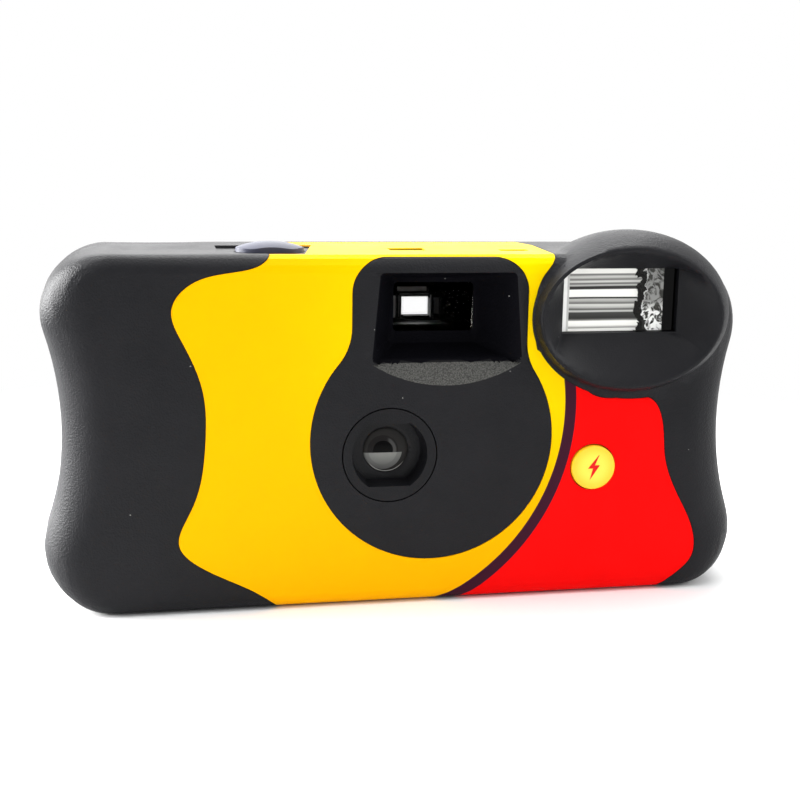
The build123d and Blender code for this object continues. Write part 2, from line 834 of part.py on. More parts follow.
# The frame: film gate, exposure cone, lens board, film chambers, battery cradle and the deck for the works
with BuildPart() as main_frame:
    bar((gate_left, gate_right), (gate_front, gate_back), (gate_low, gate_high))
    bar((works_left, works_right), (lens_board_depth, gate_back), (gate_high, deck_z))
    bar((works_right - overrun, supply_x), (film_depth - link_depth, gate_back), (link_z, link_z + plate))
    post(cartridge_x, cartridge_depth, (door_high + door_gap, spool_top - spool_key - plate),
         left_chamber + chamber_wall)
    post(cartridge_x, cartridge_depth, (spool_top - spool_key - plate, wheel_low - collar_gap), collar_radius)
    bar((cartridge_x - left_chamber - 2 * overrun, gate_left + overrun), (gate_back, case_depth),
        (0, case_height), mode=Mode.SUBTRACT)
    post(supply_x, supply_depth, (gate_low, gate_high), right_chamber + chamber_wall)
    bar((gate_right - overrun, supply_x + right_chamber + 2 * overrun), (gate_back, case_depth),
        (0, case_height), mode=Mode.SUBTRACT)
    for share in cradle_rib_shares:
        rib_x = battery_left + battery_length * share
        bar((rib_x - rib_width / 2, rib_x + rib_width / 2), (battery_depth, gate_front),
            (gate_low, cradle_rib_high))
    bar((battery_left, battery_right), (lens_board_depth, battery_depth + battery_radius / 2),
        (battery_z + battery_radius + fit, battery_z + battery_radius + fit + plate))
    bar((lens_x - lens_board_width / 2, lens_x + lens_board_width / 2),
        (lens_board_depth, lens_board_depth + plate), (lens_board_low, gate_high))
    loft([centred_box(lens_board_depth, 2 * (cone_radius + cone_wall), 2 * (cone_radius + cone_wall)),
          centred_box(gate_front, picture_width + 2 * cone_wall, picture_height + 2 * cone_wall)])
    loft([centred_box(lens_board_depth, 2 * cone_radius, 2 * cone_radius),
          centred_box(gate_back, picture_width, picture_height)], mode=Mode.SUBTRACT)
    post(cartridge_x, cartridge_depth, (0, cartridge_high + chamber_gap), left_chamber, mode=Mode.SUBTRACT)
    post(cartridge_x, cartridge_depth, (0, case_height), spool_end_radius + chamber_gap, mode=Mode.SUBTRACT)
    post(supply_x, supply_depth, (gate_low + plate, gate_high - plate), right_chamber, mode=Mode.SUBTRACT)
    post(supply_x, supply_depth, (0, case_height), supply_core / 2 + running, mode=Mode.SUBTRACT)
    rod((battery_left - overrun, battery_right + overrun), battery_depth, battery_z, battery_radius + fit,
        mode=Mode.SUBTRACT)
    post(sprocket_x, sprocket_depth, (sprocket_z - sprocket_height / 2 - sprocket_play,
                                      sprocket_z + sprocket_height / 2 + sprocket_play),
         sprocket_reach + chamber_gap, mode=Mode.SUBTRACT)
    post(sprocket_x, sprocket_depth, (sprocket_z - sprocket_height, case_height), shaft_radius + running,
         mode=Mode.SUBTRACT)
    for x, depth in ((metering_x, metering_depth), (strike_x, strike_depth)):
        post(x, depth, (deck_z, works_cover_low), post_radius)
    for x, depth in ((works_cover_left + works_inset, lens_board_depth + works_inset),
                     (works_cover_left + works_inset, gate_back - works_inset),
                     (works_right - works_inset, gate_back - works_inset)):
        post(x, depth, (deck_z, works_cover_low), works_post_radius)
    peg(blade_x, blade_z, (blade_depth - 2 * blade_coil_turns * blade_coil_pitch, lens_board_depth),
        post_radius)
    bar((finder_x - front_lens_x - fit, finder_x + front_lens_x + fit), (0, gate_back + overrun),
        (finder_z - front_lens_z - sight_gap, case_height), mode=Mode.SUBTRACT)
    add(case_body(wall + running), mode=Mode.INTERSECT)
finish(main_frame, "main_frame")

# The film door in the foot, a flap that keeps the curve of the case and turns on a rolled edge
with BuildPart() as film_door:
    add(case_body(door_recess) - case_body(door_recess + door_thickness))
    bar((door_left, door_right - 2 * hinge_radius), (door_front, door_back), (0, door_high),
        mode=Mode.INTERSECT)
    bar((door_right - 2 * hinge_radius - overrun, door_hinge_x), (door_front, door_back),
        (door_recess, door_recess + 2 * hinge_radius))
    peg(door_hinge_x, door_hinge_z, (door_front - hinge_pin + door_gap, door_back + hinge_pin - door_gap),
        hinge_radius)
finish(film_door, "film_door")

# The film: cartridge, spools, the roll still to be shot and the strip between them
with BuildPart() as cartridge_shell:
    post(cartridge_x, cartridge_depth, (cartridge_low + cap_thickness, cartridge_high - cap_thickness),
         cartridge_radius)
    post(cartridge_x, cartridge_depth, (0, case_height), cartridge_radius - cartridge_skin,
         mode=Mode.SUBTRACT)
    bar((cartridge_x, cartridge_x + cartridge_radius), (film_depth - film_mouth / 2, case_depth),
        (lens_z - film_width / 2 - film_gap, lens_z + film_width / 2 + film_gap), mode=Mode.SUBTRACT)
finish(cartridge_shell, "cartridge_shell")


def cartridge_cap(low, collar_up):
    """One end cap of the cartridge, a dished disc with a hole for the spool's end."""
    with BuildPart() as cap:
        post(cartridge_x, cartridge_depth, (low, low + cap_thickness), cartridge_radius)
        lip = (low + cap_thickness, low + 2 * cap_thickness) if collar_up else (low - cap_thickness, low)
        post(cartridge_x, cartridge_depth, lip, cartridge_radius - cartridge_skin - running)
        post(cartridge_x, cartridge_depth, lip, cartridge_radius - cartridge_skin - cap_lip - running,
             mode=Mode.SUBTRACT)
        post(cartridge_x, cartridge_depth, (0, case_height), spool_end_radius + running, mode=Mode.SUBTRACT)
    return cap


lower_cartridge_cap = cartridge_cap(cartridge_low, True)
finish(lower_cartridge_cap, "lower_cartridge_cap")
upper_cartridge_cap = cartridge_cap(cartridge_high - cap_thickness, False)
finish(upper_cartridge_cap, "upper_cartridge_cap")

with BuildPart() as cartridge_spool:
    post(cartridge_x, cartridge_depth, (cartridge_low, spool_top), spool_end_radius)
    post(cartridge_x, cartridge_depth, (cartridge_low + 2 * cap_thickness + running,
                                        cartridge_high - 2 * cap_thickness - running), spool_core)
    for low in (cartridge_low + 2 * cap_thickness + running,
                cartridge_high - 2 * cap_thickness - running - supply_flange_thickness):
        post(cartridge_x, cartridge_depth, (low, low + supply_flange_thickness),
             cartridge_radius - cartridge_skin - cap_lip - fit)
    post(cartridge_x, cartridge_depth, (spool_top - 2 * spool_bore, spool_top), spool_bore,
         mode=Mode.SUBTRACT)
    bar((cartridge_x - spool_bore, cartridge_x + spool_bore),
        (cartridge_depth - spool_key / 2, cartridge_depth + spool_key / 2),
        (spool_top - 2 * spool_bore, spool_top - spool_bore))
finish(cartridge_spool, "cartridge_spool")

with BuildPart() as supply_spool:
    post(supply_x, supply_depth, (gate_low, gate_high), supply_core / 2)
    for low in (lens_z - film_width / 2 - supply_flange_thickness - film_gap,
                lens_z + film_width / 2 + film_gap):
        post(supply_x, supply_depth, (low, low + supply_flange_thickness), supply_flange)
finish(supply_spool, "supply_spool")

with BuildPart() as film_roll:
    post(supply_x, supply_depth, (lens_z - film_width / 2, lens_z + film_width / 2), roll_radius)
    post(supply_x, supply_depth, (0, case_height), supply_core / 2 + running, mode=Mode.SUBTRACT)
finish(film_roll, "film_roll")

with BuildPart() as film_strip:
    strip_left = cartridge_x + spool_core
    bar((strip_left, supply_x), (film_depth, film_depth + film_thickness),
        (lens_z - film_width / 2, lens_z + film_width / 2))
    with BuildSketch(at(film_depth - overrun)) as perforations:
        for side in (-1, 1):
            row_z = lens_z + side * (film_width / 2 - perforation_edge - perforation_height / 2)
            with Locations((sprocket_x + perforation_pitch * (perforation_count / 2 - 2), row_z)):
                with GridLocations(perforation_pitch, 0, perforation_count, 1):
                    Rectangle(perforation_width, perforation_height)
    extrude(amount=-2 * overrun, mode=Mode.SUBTRACT)
finish(film_strip, "film_strip")

# The thumbwheel, a knurled disc whose hub turns in the frame's collar and whose key turns the spool
with BuildPart() as thumbwheel:
    post(cartridge_x, cartridge_depth, (wheel_low, wheel_high), wheel_radius - wheel_tooth)
    with BuildSketch(level(wheel_low)) as wheel_knurl:
        with Locations((cartridge_x, back_y(cartridge_depth))):
            with PolarLocations(wheel_radius - wheel_tooth, wheel_teeth):
                Rectangle(2 * wheel_tooth, pi * wheel_radius / wheel_teeth)
    extrude(amount=wheel_high - wheel_low)
    post(cartridge_x, cartridge_depth, (wheel_low + wheel_web, wheel_high),
         wheel_radius - wheel_tooth - wheel_rim, mode=Mode.SUBTRACT)
    post(cartridge_x, cartridge_depth, (wheel_low, wheel_high), spool_end_radius)
    post(cartridge_x, cartridge_depth, (spool_top - spool_bore + running, wheel_low), wheel_key)
    bar((cartridge_x - wheel_key, cartridge_x + wheel_key),
        (cartridge_depth - spool_key / 2, cartridge_depth + spool_key / 2),
        (spool_top - spool_bore + running, spool_top - spool_bore + spool_key), mode=Mode.SUBTRACT)
finish(thumbwheel, "thumbwheel")

# The sprocket wheel: eight teeth in the film, a cam for the metering lever and a finger for the counter
with BuildPart() as sprocket_wheel:
    sprocket_low = sprocket_z - sprocket_height / 2
    post(sprocket_x, sprocket_depth, (sprocket_low, dial_low + dial_thickness), shaft_radius)
    post(sprocket_x, sprocket_depth, (sprocket_low, sprocket_low + sprocket_height),
         sprocket_reach - sprocket_tooth)
    post(sprocket_x, sprocket_depth, (sprocket_low, gate_high - sprocket_hub), sprocket_hub)
    with BuildSketch(level(sprocket_low)) as sprocket_crown:
        with Locations((sprocket_x, back_y(sprocket_depth))):
            with PolarLocations(0, sprocket_teeth, start_angle=90):
                Trapezoid(sprocket_tooth_width * 2, sprocket_reach, sprocket_tooth_angle, rotation=-90,
                          align=(Align.CENTER, Align.MIN))
            Circle(sprocket_reach, mode=Mode.INTERSECT)
    extrude(amount=sprocket_height)
    post(sprocket_x, sprocket_depth, (cam_low, cam_low + cam_height), cam_radius)
    with Locations((sprocket_x - cam_radius, back_y(sprocket_depth), cam_low + cam_height / 2)):
        Cylinder(cam_notch, cam_height, mode=Mode.SUBTRACT)
    post(sprocket_x, sprocket_depth, (dial_low, dial_low + dial_thickness), finger_hub)
    bar((sprocket_x - finger_width / 2, sprocket_x + finger_width / 2),
        (sprocket_depth, sprocket_depth + finger_reach - finger_width / 2),
        (dial_low, dial_low + dial_thickness))
finish(sprocket_wheel, "sprocket_wheel")

# The frame counter, a toothed dial on a pin of the works cover
with BuildPart() as counter_dial:
    post(dial_x, dial_depth, (dial_low, dial_low + dial_thickness), dial_radius - dial_tooth)
    with BuildSketch(level(dial_low)) as dial_crown:
        with Locations((dial_x, back_y(dial_depth))):
            with PolarLocations(dial_radius - dial_tooth, dial_teeth):
                Rectangle(2 * dial_tooth, pi * dial_radius / dial_teeth)
            Circle(dial_radius, mode=Mode.INTERSECT)
    extrude(amount=dial_thickness)
    post(dial_x, dial_depth, (dial_low, dial_low + dial_thickness), post_radius + running,
         mode=Mode.SUBTRACT)
finish(counter_dial, "counter_dial")

with BuildPart() as works_cover:
    bar((works_cover_left, works_right), (lens_board_depth, gate_back),
        (works_cover_low, works_cover_low + works_cover_thickness))
    post(sprocket_x, sprocket_depth, (0, case_height), shaft_radius + running, mode=Mode.SUBTRACT)
    post(button_x, button_stem_depth, (0, case_height), button_stem + button_play, mode=Mode.SUBTRACT)
    post(dial_x, dial_depth, (works_cover_low, dial_low + dial_thickness), post_radius)
    post(dial_x, dial_depth, (works_cover_low, dial_low - running), 2 * post_radius)
finish(works_cover, "works_cover")


def arm(start, end, width):
    """A round-ended arm in a level sketch, between two places given as X and depth."""
    run_x = end[0] - start[0]
    run_y = back_y(end[1]) - back_y(start[1])
    turn = degrees(atan2(run_y, run_x))
    with Locations(((start[0] + end[0]) / 2, back_y((start[1] + end[1]) / 2))):
        SlotCenterToCenter(hypot(run_x, run_y), width, rotation=turn)


# The metering lever: its nose rides on the cam and its long arm waits under the shutter button
metering = (metering_x, metering_depth)
cam_edge = (sprocket_x + cam_radius + lever_width / 2 + fit, sprocket_depth)
with BuildPart() as metering_lever:
    with BuildSketch(level(cam_low)) as lever_shape:
        arm(metering, (button_x, button_stem_depth), lever_width)
        arm(metering, cam_edge, lever_width)
        with Locations((metering_x, back_y(metering_depth))):
            Circle(lever_hub)
            Circle(post_radius + running, mode=Mode.SUBTRACT)
    extrude(amount=lever_thickness)
finish(metering_lever, "metering_lever")

# The strike lever, which flicks the tab of the shutter blade, and its coil spring
with BuildPart() as strike_lever:
    with BuildSketch(level(strike_low)) as strike_shape:
        arm((strike_x, strike_depth), (strike_tip_x, strike_tip_depth), 2 * strike_tip_radius)
        with Locations((strike_x, back_y(strike_depth))):
            Circle(lever_hub)
            Circle(post_radius + running, mode=Mode.SUBTRACT)
    extrude(amount=lever_thickness)
finish(strike_lever, "strike_lever")


def coil(radius, pitch, turns, place, toward):
    """A coil of round wire as one unbroken tube, from its place towards a direction."""
    with BuildPart() as spring:
        with BuildLine() as path:
            Helix(pitch=pitch, height=pitch * turns, radius=radius, center=place, direction=toward)
        with BuildSketch(Plane(origin=path.line @ 0, z_dir=path.line % 0)):
            Circle(wire_radius)
        sweep(is_frenet=True)
    return spring


strike_spring = coil(strike_coil_radius, strike_coil_pitch, strike_coil_turns,
                     (strike_x, back_y(strike_depth), deck_z + wire_radius + running), (0, 0, 1))
finish(strike_spring, "strike_spring")

# The shutter blade: a thin vane that covers the lens, pivoted on the lens board, with its return spring
with BuildPart() as shutter_blade:
    with BuildSketch(at(blade_depth)) as vane:
        with Locations((lens_x, lens_z)):
            Circle(blade_head)
        drop_x = lens_x - blade_x
        drop_z = lens_z - blade_z
        with Locations(((lens_x + blade_x) / 2, (lens_z + blade_z) / 2)):
            SlotCenterToCenter(hypot(drop_x, drop_z), blade_arm, rotation=degrees(atan2(drop_z, drop_x)))
        with Locations((blade_x, blade_z)):
            Circle(blade_arm)
        with Locations((blade_x, (blade_z + blade_top) / 2)):
            Rectangle(blade_tab_width, blade_top - blade_z)
        with Locations((blade_x, blade_z)):
            Circle(post_radius + running, mode=Mode.SUBTRACT)
    extrude(amount=-blade_thickness)
finish(shutter_blade, "shutter_blade")
blade_spring = coil(blade_coil_radius, blade_coil_pitch, blade_coil_turns,
                    (blade_x, back_y(blade_depth - wire_radius - running), blade_z), (0, -1, 0))
finish(blade_spring, "blade_spring")

# The shutter button, an oval key with a domed top, two side flanges and a stem over the metering lever
with BuildPart() as shutter_button:
    button_low = case_top_in - button_flange_thickness - insert_gap
    add(ellipsoid(button_x, button_depth, case_height + button_rise - button_dome_z,
                  button_dome_x, button_dome_depth, button_dome_z))
    with BuildSketch(level(button_low)) as button_shape:
        with Locations((button_x, back_y(button_depth))):
            SlotOverall(button_width, button_length)
    extrude(amount=case_height + 2 * button_rise - button_low, mode=Mode.INTERSECT)
    bar((button_x - button_width / 2 - button_flange, button_x + button_width / 2 + button_flange),
        (button_depth - button_length / 2 + button_flange, button_depth + button_length / 2 - button_flange),
        (button_low, button_low + button_flange_thickness))
    post(button_x, button_stem_depth, (cam_low + lever_thickness + button_travel + insert_gap, button_low),
         button_stem)
finish(shutter_button, "shutter_button")


def top_insert(x, depth, width, length):
    """A clear insert that fills a slot in the top from beneath."""
    with BuildPart() as insert:
        bar((x - width / 2 + running, x + width / 2 - running),
            (depth - length / 2 + running, depth + length / 2 - running),
            (case_top_in - insert_thickness - insert_gap, case_height - plate_recess))
        bar((x - width / 2 - insert_flange, x + width / 2 + insert_flange),
            (depth - length / 2 - insert_flange, depth + length / 2 + insert_flange),
            (case_top_in - insert_thickness - insert_gap, case_top_in - insert_gap))
    return insert


counter_window = top_insert(counter_window_x, counter_window_depth,
                            counter_window_width, counter_window_length)
finish(counter_window, "counter_window")
ready_window = top_insert(ready_x, ready_depth, ready_width, ready_length)
finish(ready_window, "ready_window")

# The flash: ribbed lens, reflector, tube, ready lamp and the board with its parts
lens_half_x = window_width / 2 - fit
lens_half_z = window_height / 2 - fit
with BuildPart() as flash_lens:
    with BuildSketch(Plane.YZ.offset(window_x - lens_half_x)) as lens_profile:
        with Locations((back_y(flash_lens_depth + flash_lens_thickness / 2), window_z)):
            Rectangle(flash_lens_thickness, 2 * lens_half_z)
        with Locations((back_y(flash_lens_depth + flash_lens_thickness), window_z)):
            with GridLocations(0, 2 * lens_half_z / lens_rib_count, 1, lens_rib_count):
                Ellipse(lens_rib, lens_half_z / lens_rib_count - running)
    extrude(amount=2 * lens_half_x)
finish(flash_lens, "flash_lens")

mirror_front = flash_lens_depth + flash_lens_thickness + lens_rib + insert_gap
mirror_back = mirror_front + reflector_length


def trough(grow):
    """The hollow outline of the reflector, seen along X."""
    with BuildSketch(Plane.YZ.offset(window_x - lens_half_x)) as outline:
        with Locations((back_y(mirror_front), window_z)):
            Ellipse(reflector_length - reflector_skin + grow, lens_half_z - reflector_skin + grow)
            Rectangle(reflector_length, window_height, align=(Align.MIN, Align.CENTER), mode=Mode.INTERSECT)
    return outline.sketch


tube_depth = mirror_back - reflector_skin - tube_radius - 2 * fit
with BuildPart() as flash_reflector:
    extrude(trough(reflector_skin), amount=2 * lens_half_x)
    extrude(trough(0).moved(Location((reflector_skin, 0, 0))), amount=2 * (lens_half_x - reflector_skin),
            mode=Mode.SUBTRACT)
    rod((window_x - window_width, window_x + window_width), tube_depth, window_z, tube_radius + fit,
        mode=Mode.SUBTRACT)
finish(flash_reflector, "flash_reflector")

with BuildPart() as flash_tube:
    tube_half = window_width / 2 + tube_overhang
    rod((window_x - tube_half, window_x + tube_half), tube_depth, window_z, tube_radius)
    for side in (-1, 1):
        rod(sorted((window_x + side * tube_half, window_x + side * (tube_half + tube_overhang / 2))),
            tube_depth, window_z, tube_radius / 3)
finish(flash_tube, "flash_tube")

with BuildPart() as ready_lamp:
    lamp_top = case_top_in - insert_thickness - 2 * insert_gap
    post(ready_x, ready_depth, (lamp_top - lamp_height, lamp_top - lamp_radius), lamp_radius)
    with Locations((ready_x, back_y(ready_depth), lamp_top - lamp_radius)):
        Sphere(lamp_radius)
finish(ready_lamp, "ready_lamp")

board_back = board_depth + board_thickness
with BuildPart() as circuit_board:
    bar((board_left, board_right), (board_depth, board_back), (board_low, board_high))
    bar((board_left, board_left + contact_tab), (board_depth, board_back),
        (board_high - contact_tab, board_high), mode=Mode.SUBTRACT)
finish(circuit_board, "circuit_board")

with BuildPart() as flash_capacitor:
    post(capacitor_x, capacitor_depth, (capacitor_low, capacitor_low + capacitor_height), capacitor_radius)
    with Locations((capacitor_x, back_y(capacitor_depth), capacitor_low + capacitor_radius / 2)):
        Torus(capacitor_radius + capacitor_crimp / 2, capacitor_crimp, mode=Mode.SUBTRACT)
    chamfer(flash_capacitor.edges().filter_by(GeomType.CIRCLE).group_by(Axis.Z)[-1], length=capacitor_crimp)
finish(flash_capacitor, "flash_capacitor")

transformer_x = supply_x + right_chamber + chamber_wall + transformer_width / 2 + fit
with BuildPart() as charging_transformer:
    bar((transformer_x - transformer_width / 2, transformer_x + transformer_width / 2),
        (board_back + insert_gap, board_back + insert_gap + transformer_length),
        (transformer_z - transformer_height / 2, transformer_z + transformer_height / 2))
    bar((transformer_x - transformer_width / 2, transformer_x + transformer_width / 2),
        (board_back + insert_gap + transformer_length / 4, board_back + insert_gap + transformer_length),
        (transformer_z - transformer_height / 4, transformer_z + transformer_height / 4), mode=Mode.SUBTRACT)
    with Locations((transformer_x, back_y(board_back + insert_gap + transformer_length * coil_place_share),
                    transformer_z)):
        Cylinder(transformer_length * coil_place_share / 2, transformer_height / 2)
finish(charging_transformer, "charging_transformer")

with BuildPart() as trigger_coil:
    coil_x = board_right - coil_radius
    post(coil_x, board_back + insert_gap + coil_radius, (board_high - coil_length, board_high), coil_radius)
    for low in (board_high - coil_length, board_high - leaf_thickness):
        post(coil_x, board_back + insert_gap + coil_radius, (low, low + leaf_thickness),
             coil_radius + insert_gap)
    post(coil_x, board_back + insert_gap + coil_radius, (0, case_height), coil_radius / 2, mode=Mode.SUBTRACT)
finish(trigger_coil, "trigger_coil")

# The charge button in the face, and the leaf spring that it presses on the board
with BuildPart() as flash_button:
    peg(charge_x, charge_z, (-charge_proud, wall + charge_travel), charge_radius)
    fillet(flash_button.edges().filter_by(GeomType.CIRCLE).group_by(Axis.Y)[0], radius=charge_proud / 2)
    peg(charge_x, charge_z, (wall + insert_gap, wall + insert_gap + charge_flange),
        charge_radius + charge_flange)
    peg(charge_x, charge_z, (wall, charge_length), charge_stem)
finish(flash_button, "flash_button")

with BuildPart() as flash_switch_spring:
    leaf_front = charge_length + charge_travel + insert_gap
    bar((charge_x - charge_stem, charge_x + charge_stem), (leaf_front, leaf_front + leaf_thickness),
        (charge_z - charge_radius, charge_z + 2 * charge_radius))
    bar((charge_x - charge_stem, charge_x + charge_stem), (leaf_front, board_depth - insert_gap),
        (charge_z + 2 * charge_radius - charge_stem, charge_z + 2 * charge_radius))
finish(flash_switch_spring, "flash_switch_spring")

with BuildPart() as sync_contact:
    leaf = (lens_board_depth - leaf_thickness / 2, lens_board_depth - insert_gap)
    contact_left = lens_x - lens_board_width / 2 + leaf_thickness
    contact_high = gate_high - blade_tab_width
    bar((contact_left, blade_x - blade_tab_width), leaf, (contact_high - blade_tab_width, contact_high))
    bar((contact_left, contact_left + blade_tab_width), leaf, (blade_z - blade_head, contact_high))
finish(sync_contact, "sync_contact")

# The battery along the foot, and its two contacts
with BuildPart() as battery:
    rod((battery_left, battery_right), battery_depth, battery_z, battery_radius)
    chamfer(battery.edges().filter_by(GeomType.CIRCLE), length=contact_thickness)
    rod((battery_right, battery_right + battery_nub), battery_depth, battery_z, battery_nub_radius)
finish(battery, "battery")

positive_x = battery_right + battery_nub + insert_gap
with BuildPart() as positive_contact:
    bar((positive_x, positive_x + contact_thickness),
        (board_depth - contact_thickness - insert_gap, battery_depth + contact_width / 2),
        (battery_z - contact_height / 2, battery_z + contact_height / 2))
    bar((positive_x, board_left + contact_tab),
        (board_depth - contact_thickness - insert_gap, board_depth - insert_gap),
        (battery_z - contact_strip / 2, battery_z + contact_strip / 2))
finish(positive_contact, "positive_contact")

negative_x = battery_left - insert_gap - contact_thickness
strip_z = wall + insert_gap
with BuildPart() as negative_contact:
    bar((negative_x, negative_x + contact_thickness),
        (battery_depth - contact_width / 2, battery_depth + contact_width / 2),
        (strip_z, battery_z + contact_height / 2))
    bar((negative_x, board_left + contact_tab),
        (battery_depth - contact_strip / 2, battery_depth + contact_strip / 2),
        (strip_z, strip_z + contact_thickness / 3))
finish(negative_contact, "negative_contact")

coil_gap = strike_coil_pitch - 2 * wire_radius
print(f"Least gap between the curls of the strike spring: {coil_gap:.2f} mm")
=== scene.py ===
import json
from math import cos, pi, radians, sin

import bmesh
import bpy
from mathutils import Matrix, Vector


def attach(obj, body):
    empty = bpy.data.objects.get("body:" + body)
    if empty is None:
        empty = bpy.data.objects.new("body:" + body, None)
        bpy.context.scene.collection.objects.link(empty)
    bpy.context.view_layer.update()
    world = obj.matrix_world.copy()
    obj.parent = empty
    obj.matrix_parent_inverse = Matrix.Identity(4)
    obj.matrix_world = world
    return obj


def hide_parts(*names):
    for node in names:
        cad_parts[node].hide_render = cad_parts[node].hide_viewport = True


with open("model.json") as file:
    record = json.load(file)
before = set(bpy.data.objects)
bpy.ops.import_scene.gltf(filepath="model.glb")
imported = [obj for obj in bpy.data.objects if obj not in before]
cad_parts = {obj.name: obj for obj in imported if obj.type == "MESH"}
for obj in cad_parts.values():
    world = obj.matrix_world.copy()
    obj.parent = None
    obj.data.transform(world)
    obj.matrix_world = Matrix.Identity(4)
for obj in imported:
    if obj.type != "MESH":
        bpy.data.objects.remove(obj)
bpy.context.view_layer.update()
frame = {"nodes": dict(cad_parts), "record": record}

MM = 0.001
NODES = frame["nodes"]
BODY_OF = {node: body for body, group in frame["record"]["behaviour"]["bodies"].items() for node in group}

# Sizes of the solids that the finishes and the added pieces follow, in millimetres
FACE_Y = -13.0
BOWL = {"x": 35.6, "z": 47.6, "half_x": 15.0, "half_z": 10.9}
STRIPE = {"x": -9.15, "z": 32.5, "inner": 34.8, "outer": 36.7, "top": 45.0}
KEY = {"x": 30.9, "z": 22.3, "proud": 0.5, "radius": 3.75}
HOOD = {"left": -7.3, "right": 18.4, "low": 40.3, "high": 55.3, "near": 0.25, "far": 27.5}
CHIN = {"left": -7.2, "right": 18.4, "low": 36.4, "near": 0.04, "far": 2.0}
LENS = {"x": -3.65, "z": 25.4, "rim": 3.75, "rim_depth": 3.9, "dome": 0.5, "edge": 0.3, "reflection_x": -4.2}
TUNNEL = {"x": 4.5, "z": 48.7, "half_x": 6.9, "half_z": 4.25, "depth": 9.6}
EYEPIECE = {"x": 4.5, "z": 47.0, "half_x": 5.2, "half_z": 3.6, "depth": 24.6}
EYEHOLE = {"x": 5.1, "z": 46.5, "half_x": 2.42, "half_z": 1.6, "depth": 24.6}
TUNNEL_WALL = 0.3
FLASH = {"left": 26.2, "tube_end": 37.9, "crease": 39.4, "right": 42.3, "low": 44.8, "height": 10.6}
# Stops of the painted reflection bands in the flash window: a share of its height and a brightness each
REFLECTION_BAND_SHARES = ((0.0, 0.95), (0.05, 0.95), (0.06, 0.2), (0.10, 0.95), (0.17, 1.0), (0.19, 0.2), (0.22, 0.04),
               (0.31, 0.07), (0.33, 0.7), (0.36, 0.08), (0.39, 0.5), (0.43, 0.75), (0.45, 0.12), (0.48, 0.4),
               (0.51, 0.6), (0.53, 0.03), (0.545, 0.03), (0.55, 1.0), (0.66, 1.0), (0.67, 0.05), (0.71, 0.04),
               (0.73, 0.6), (0.76, 0.1), (0.79, 0.8), (0.82, 0.15), (0.86, 0.7), (0.90, 0.1), (0.92, 0.95),
               (1.0, 0.95))
# Left, right, low and high sides of the painted glints round the eyepiece, with their brightness
EYE_GLINTS = ((1.0, 1.6, 44.4, 48.3, 0.50), (2.1, 2.35, 44.5, 48.4, 0.20), (2.3, 7.7, 48.45, 48.65, 0.20),
              (1.9, 7.2, 49.1, 49.9, 0.26), (7.9, 8.1, 44.4, 48.4, 0.40), (8.6, 9.5, 45.0, 47.9, 0.12))
# Corners of the bolt as shares of the key's radius
BOLT_SHARES = ((0.22, 0.56), (-0.26, -0.04), (-0.03, -0.04), (-0.16, -0.56), (0.28, 0.1), (0.05, 0.1),
               (0.24, 0.56))
BOLT_RAISE = 0.05
DOME_STEPS = 72
DOME_RINGS = 10

# Joining, shading and easing of the skins
JOIN_MM = 0.002
FLAT_DEGREES = 0.4
SMOOTH_DEGREES = 32.0
BEVEL_DEGREES = 40.0
BEVEL_SEGMENTS = 2
FACE_WEIGHT = 90

# Linear colours of the covers, of settled dust, of the wrap's print and of the surround; as painted light,
# the yellow is painted lighter over these places, in millimetres
CASE_DEEP = (0.0062, 0.0064, 0.0078, 1.0)
CASE_PALE = (0.0098, 0.0098, 0.0116, 1.0)
# The chin's speckled greys, painted lighter as painted light from above
CHIN_PAINTED_LIT_DEEP = (0.036, 0.036, 0.034, 1.0)
CHIN_PAINTED_LIT_PALE = (0.095, 0.095, 0.088, 1.0)
# Painted shade inside the hood
HOOD_PAINTED_SHADE = (0.0012, 0.0012, 0.0018, 1.0)
CASE_DUST = (0.42, 0.42, 0.40, 1.0)
PLAIN_DUST = (0.4, 0.4, 0.38, 1.0)
YELLOW_PAINTED_SHADE = (0.93, 0.43, 0.0, 1.0)
YELLOW_PAINTED_LIGHT = (0.95, 0.66, 0.0, 1.0)
YELLOW_MOTTLE = (0.93, 0.47, 0.0, 1.0)
RED_DEEP = (0.82, 0.002, 0.002, 1.0)
RED_BRIGHT = (0.87, 0.004, 0.004, 1.0)
PLUM = (0.044, 0.010, 0.022, 1.0)
PAINTED_LIGHT_SPAN = {"x": (-30.0, 20.0), "z": (10.0, 45.0)}
WHITE = (1.0, 1.0, 1.0, 1.0)
SOFT_WHITE = (0.97, 0.98, 1.0, 1.0)

# The photograph's camera in millimetres and degrees, and its near clip in metres
CAMERA = {"lens": 58.5, "sensor": 36.0, "place": (-41.79, -213.64, 76.4),
          "turn": (78.4231, -0.8817, -10.9974)}
CAMERA_CLIP = 0.01
# Each lamp's name, place, size, watts and aim, in metres
LAMPS = (
    ("overhead", (0.0, 0.05, 0.55), 0.7, 3.2, (0.0, 0.0, 0.02)),
    ("left_side", (-0.55, -0.25, 0.30), 0.5, 0.2, (0.0, 0.0, 0.03)),
    ("right_side", (0.50, -0.20, 0.28), 0.4, 1.6, (0.0, 0.0, 0.03)),
    ("back_left", (-0.55, 0.20, 0.10), 0.6, 24.0, (-0.05, 0.0, 0.03)),
    ("back_top", (0.05, 0.50, 0.42), 0.6, 3.5, (0.0, 0.0, 0.05)),
)

# The surround's strength as soft light, and the floor's radius and the ends of its fade in metres
SOFT_STRENGTH = 0.55
FLOOR_RADIUS = 3.0
FLOOR_FADE = (0.085, 0.20)


# Small helpers for shader trees

def place(tree, kind, settings=None, **inputs):
    """Adds one shader node, with its settings and its sockets' values; a socket as a value is linked."""
    made = tree.nodes.new(kind)
    for name, value in (settings or {}).items():
        setattr(made, name, value)
    for name, value in inputs.items():
        socket = made.inputs[int(name[1:])] if name[0] == "i" and name[1:].isdigit() else made.inputs[name]
        if isinstance(value, bpy.types.NodeSocket):
            tree.links.new(value, socket)
        else:
            socket.default_value = value
    return made


